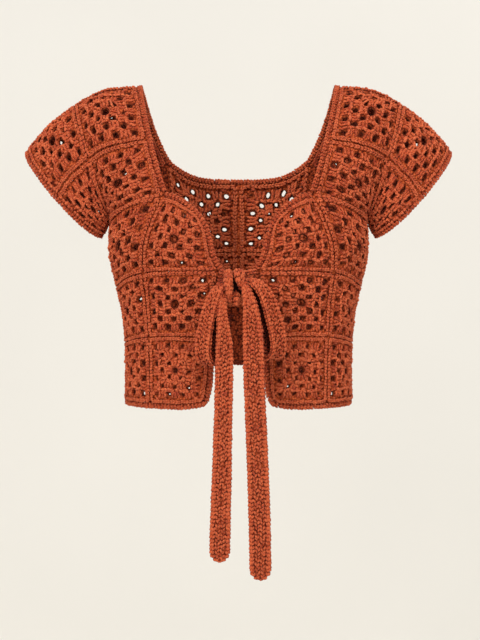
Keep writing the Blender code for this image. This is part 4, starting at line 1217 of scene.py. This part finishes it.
def cotton_web(name, lit, middle_tone, deep):
    """The same cotton between the tall stitches: a close moss of bumps with 0.9 mm fuzz, painted lighter
    on the bumps and darker between them, as painted light and shade.

    The attribute shade paints it darker, as painted shade: in the walls of the openings, all over the
    knot's core, and where a strap runs into the knot and along a loop's return half.
    """
    material, add, finish = blank_material(name)
    place = add("ShaderNodeTexCoord").outputs["Object"]
    bumps = add("ShaderNodeTexVoronoi", Vector=place, Scale=1000 / MOSS_PITCH, Randomness=0.85)
    fuzz = add("ShaderNodeTexNoise", Vector=place, Scale=1100.0, Detail=3.0).outputs["Fac"]
    fleck = add("ShaderNodeMath", TIMES_PLUS, _0=fuzz, _1=0.35, _2=-0.17)
    depth = add("ShaderNodeMath", [("operation", "ADD")], _0=bumps.outputs["Distance"], _1=fleck)
    colour = add("ShaderNodeValToRGB", stops=((0.12, lit), (0.5, middle_tone), (0.8, deep)), _0=depth)
    shade = add("ShaderNodeAttribute", [("attribute_name", "shade")]).outputs["Fac"]
    # Painted shade, mixed in by the attribute shade.
    shaded = add("ShaderNodeMix", COLOUR, _0=shade, _6=colour, _7=linear("#260803"))
    height = add("ShaderNodeMath", [("operation", "SUBTRACT")], _0=1.0, _1=depth)
    bump = add("ShaderNodeBump", Height=height, Strength=1.0, Distance=0.0022)
    finish(Base_Color=shaded.outputs[2], Normal=bump, Roughness=0.95, Specular_IOR_Level=0.15)
    return material


def backdrop_paint():
    """Matt emulsion paint, warm off-white, with a faint unevenness about 0.8 m across."""
    material, add, finish = blank_material("matt_wall_paint")
    place = add("ShaderNodeTexCoord").outputs["Object"]
    cloud = add("ShaderNodeTexNoise", Vector=place, Scale=1.2, Detail=2.0).outputs["Fac"]
    colour = add("ShaderNodeValToRGB", stops=((0.3, "#f1eee7"), (0.7, "#f4f1ea")), _0=cloud)
    finish(Base_Color=colour, Roughness=0.95, Specular_IOR_Level=0.1)
    return material


# ---- Building ----


def ride_root(piece, *nodes):
    """Makes a piece ride on the garment's body, and stand for its nodes."""
    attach(piece, "root")
    if nodes:
        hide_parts(*nodes)
    return piece


def mean_span(surface):
    """A square's mean width and mean length along its surface, in metres."""
    t = np.linspace(0, 1, 17)
    grid = surface(*np.meshgrid(t, t, indexing="ij"))
    width = np.linalg.norm(np.diff(grid, axis=0), axis=-1).sum(axis=0).mean()
    length = np.linalg.norm(np.diff(grid, axis=1), axis=-1).sum(axis=1).mean()
    return width * MM, length * MM


def build_squares(surfaces, yarn_material, web_material, back_material):
    """Every square: its yarn, and the web that carries it.

    Back squares whose inside isn't seen have a darker copy of the web, as painted shade, so that the
    front's openings read dark.
    """
    webs = {}
    for number, (name, surface) in enumerate(surfaces.items()):
        for side in ("l", "r"):
            seed = 100 + 2 * number + (side == "r")
            rng = np.random.default_rng(seed)
            node = name % side
            yarn = Yarn(node + "_yarn")
            face = name.split("_")[0]
            slack, closed_share = (table.get(name, table[face]) for table in (SLACK, CLOSED_SHARE))
            openings = openings_of(rng, slack, closed_share)
            for inside in (False, True) if name in SEEN_INSIDE else (False,):
                for line, radius in granny_square(rng):
                    flat = uneven(opened(line, openings, radius), np.random.default_rng(seed))
                    height = flat[..., 2]
                    if inside:
                        flat = np.stack((flat[..., 0], flat[..., 1], INNER_LEVEL - height), axis=-1)
                        height = height + INNER_LIFT * ("centre" in name)
                    place, out = on_square(surface, flat)
                    yarn.lay(place, out, radius * rng.uniform(0.9, 1.1, (len(line), 1)), rng, height)
            strands = ride_root(yarn.piece(yarn_material, side == "r"), node)
            # Back squares not seen from inside get the darker web, as painted shade.
            cloth = web_material if face == "front" or name in SEEN_INSIDE else back_material
            web = ride_root(web_piece(node + "_web", surface, cloth, side == "r", seed, openings), node)
            webs[node] = (web, strands, mean_span(surface))
    return webs


# How far an edging stops short of its run's ends. The front neck's makes room for the bust's.
EDGING_STOP = 0.3
NECK_EDGING_STOP = 7.0


def build_edgings(surfaces, yarn_material, web_material):
    """The edgings worked along the free edges, each with the square that carries it."""
    runs = {
        "neck_edging_front": [
            ("front_%s_shoulder_1", (0, 0), (0, 1)), ("front_%s_shoulder_2", (0, 0), (0, 1)),
        ],
        "bust_edging": [("front_%s_centre_3", (1, 0), (0, 0)), ("front_%s_centre_3", (0, 0), (0, 1))],
        "front": [("front_%s_centre_4", (0, 0), (0, 1)), ("front_%s_centre_5", (0, 0), (0, 1))],
        "hem": [("front_%s_centre_5", (0, 1), (1, 1)), ("front_%s_side_5", (0, 1), (1, 1))],
        "hem_edging_back": [("back_%s_side_5", (0, 1), (1, 1)), ("back_%s_centre_5", (0, 1), (1, 1))],
        "neck_edging_back": [
            ("back_%s_shoulder_1", (1, 0), (1, 1)), ("back_%s_shoulder_2", (1, 0), (1, 1)),
            ("back_%s_centre_3", (0, 0), (1, 0)),
        ],
        "sleeve_edging_front": [("front_%s_sleeve_1", (1, 0), (1, 1)), ("front_%s_sleeve_2", (1, 0), (1, 1))],
        "sleeve_edging_back": [("back_%s_sleeve_1", (0, 0), (0, 1)), ("back_%s_sleeve_2", (0, 0), (0, 1))],
    }
    carriers = {name: parts[0][0] for name, parts in runs.items()}
    runs = {name: edge_run(surfaces, parts) for name, parts in runs.items()}
    front, hem = runs.pop("front"), runs.pop("hem")
    turn = np.linspace(0.15, 0.85, 6)[:, None]
    corner = (
        front[0][-1] + 0 * turn,
        unit(front[1][-1] * (1 - turn) + hem[1][0] * turn),
        unit(front[2][-1] + hem[2][0] + 0 * turn),
    )
    runs["front_hem_edging"] = tuple(np.concatenate(parts) for parts in zip(front, corner, hem))
    carriers["front_hem_edging"] = carriers["front"]
    made = {}
    for number, (name, run) in enumerate(runs.items()):
        rng = np.random.default_rng(500 + number)
        if name.endswith("_back") and not name.startswith("sleeve"):
            run = whole_run(run)
            yarn = edging_yarn(name + "_yarn", run, rng, inside=name.startswith("neck"))
            pieces = [yarn.piece(yarn_material), edging_web(name + "_web", run, web_material)]
            made[carriers[name] % "l"] = [ride_root(piece, name) for piece in pieces]
            continue
        for side in ("l", "r"):
            node = f"{name}_{side}"
            start, end = EDGING_STOP, NECK_EDGING_STOP if name == "neck_edging_front" else EDGING_STOP
            yarn = edging_yarn(node + "_yarn", run, rng, start, end)
            web = edging_web(node + "_web", run, web_material, start, end, mirrored=side == "r")
            pieces = [yarn.piece(yarn_material, side == "r"), web]
            made[carriers[name] % side] = [ride_root(piece, node) for piece in pieces]
    return made


def build_tie(yarn_material, web_material):
    """The bow: two loops, two free ends and two short straps, with the knot over them.

    Each strap has its rows, whether its end is rounded, its columns of stitches, and over how many
    millimetres from its start and its end it is painted in shade, where it runs into the knot and, on a
    loop, along its return half behind its front half.
    """
    straps = (
        ("tie_loop_l", LEFT_LOOP, False, 3, (20.0, 120.0)),
        ("tie_loop_r", RIGHT_LOOP, False, 3, (20.0, 120.0)),
        ("tie_end_l", LEFT_END, True, 3, (20.0, 0.1)),
        ("tie_end_r", RIGHT_END, True, 3, (26.0, 0.1)),
        ("tie_root_l", LEFT_ROOT, False, 1, (0.1, 6.0)),
        ("tie_root_r", RIGHT_ROOT, False, 1, (0.1, 6.0)),
    )
    made = []
    for number, (name, rows, rounded_end, columns, shaded_ends) in enumerate(straps):
        strap = Strap(rows, rounded_end, shaded_ends=shaded_ends)
        rng = np.random.default_rng(700 + number)
        strands = ride_root(strap.yarn(name + "_yarn", rng, columns).piece(yarn_material), name)
        core = ride_root(strap.core(name + "_core", web_material), name)
        if not name.startswith("tie_root"):
            made.append((core, strands, (2 * float(strap.run[3].mean()) * MM, strap.length * MM)))
    rng = np.random.default_rng(790)
    ride_root(knot_shade_core(web_material), "tie_knot")
    windings = (
        ("wrap", KNOT_WRAP, 2, (4.0, 9.0)),
        ("bump", KNOT_BUMP, 2, (4.0, 12.0)),
        ("tail_1", KNOT_TAILS[0], 1, (9.0, 0.1)),
        ("tail_2", KNOT_TAILS[1], 1, (9.0, 0.1)),
    )
    for name, rows, columns, shaded_ends in windings:
        strap = Strap(rows, name.startswith("tail"), KNOT_CROWNS[name], shaded_ends)
        ride_root(strap.yarn(f"tie_knot_{name}_yarn", rng, columns).piece(yarn_material), "tie_knot")
        ride_root(strap.core(f"tie_knot_{name}_core", web_material), "tie_knot")
    return made


def build_stage():
    """A wall well behind, so that the garment can be seen from behind too, curving into a floor."""
    turn = np.linspace(0, np.pi / 2, 12)
    radius, wall_y, floor_z = 0.5, 2.7, -2.1
    wall_top, floor_end, half_width = 2.2, -3.0, 3.5
    profile_y = np.concatenate([[wall_y, wall_y], wall_y - radius * (1 - np.cos(turn)), [floor_end]])
    profile_z = np.concatenate([[wall_top, 0.0], floor_z + radius * (1 - np.sin(turn)), [floor_z]])
    x = np.array((-half_width, half_width))
    points = np.stack(
        [np.repeat(x, len(profile_y)), np.tile(profile_y, 2), np.tile(profile_z, 2)], axis=-1
    )
    k = np.arange(len(profile_y) - 1)
    faces = np.stack([k, k + 1, k + 1 + len(profile_y), k + len(profile_y)], axis=-1)
    mesh_piece("backdrop", points, [faces], backdrop_paint())


DEGREES_DOWN = 4


def build_camera():
    """A camera 1.5 m in front, looking a little down."""
    data = bpy.data.cameras.new("camera")
    camera = bpy.data.objects.new("camera", data)
    bpy.context.scene.collection.objects.link(camera)
    camera.location = (0.0019, -1.4963, -0.1900)
    camera.rotation_euler = (math.radians(90 - DEGREES_DOWN), 0, 0)
    data.sensor_fit = "VERTICAL"
    data.sensor_height = 24.0
    data.sensor_width = 24.0
    data.lens = 44.29
    bpy.context.scene.camera = camera


def area_light(name, place, target, size, watts, colour):
    """A square area light that faces its target, and isn't seen itself."""
    data = bpy.data.lights.new(name, "AREA")
    data.size = size
    data.energy = watts
    data.color = linear(colour)[:3]
    light = bpy.data.objects.new(name, data)
    light.visible_camera = False
    bpy.context.scene.collection.objects.link(light)
    place, target = np.array(place), np.array(target)
    way = target - place
    light.location = place
    light.rotation_euler = (
        math.atan2(math.hypot(way[0], way[1]), -way[2]),
        0.0,
        math.atan2(way[1], way[0]) - math.pi / 2,
    )


def build_light():
    """Soft studio light: a key from the upper left, an even fill, and weak ones above and behind."""
    area_light("key", (-4.4, -6.0, 4.65), (0.0, 0.0, -0.25), 1.2, 290.0, "#fffcf7")
    area_light("fill", (4.0, -6.5, 0.6), (0.0, 0.0, -0.3), 4.3, 66.0, "#fffefc")
    area_light("top", (0.15, -1.5, 1.25), (0.0, 0.06, -0.15), 0.5, 15.0, "#fffcf7")
    area_light("behind", (1.9, 2.3, 1.9), (0.0, 0.0, -0.25), 1.0, 16.0, "#fffcf7")
    world = bpy.data.worlds.new("studio")
    world.use_nodes = True
    world.node_tree.nodes["Background"].inputs[0].default_value = linear("#ffffff")
    world.node_tree.nodes["Background"].inputs[1].default_value = 0.6
    bpy.context.scene.world = world
    bpy.context.scene.view_settings.view_transform = "Standard"


build_camera()
surfaces = square_surfaces()
yarn_material = cotton_yarn()
web_material = cotton_web("rust_cotton_web", "#dd6e3e", "#b34a23", "#52170a")
# A darker copy of the web, as painted shade, for back squares seen only through the front's openings.
back_material = cotton_web("rust_cotton_back_web", "#bd5730", "#8f3619", "#3c1006")
strap_material = cotton_web("rust_cotton_strap", "#bd5830", "#93391b", "#4f180b")
webs = build_squares(surfaces, yarn_material, web_material, back_material)
edgings = build_edgings(surfaces, yarn_material, strap_material)
straps = build_tie(yarn_material, strap_material)
build_stage()
build_light()
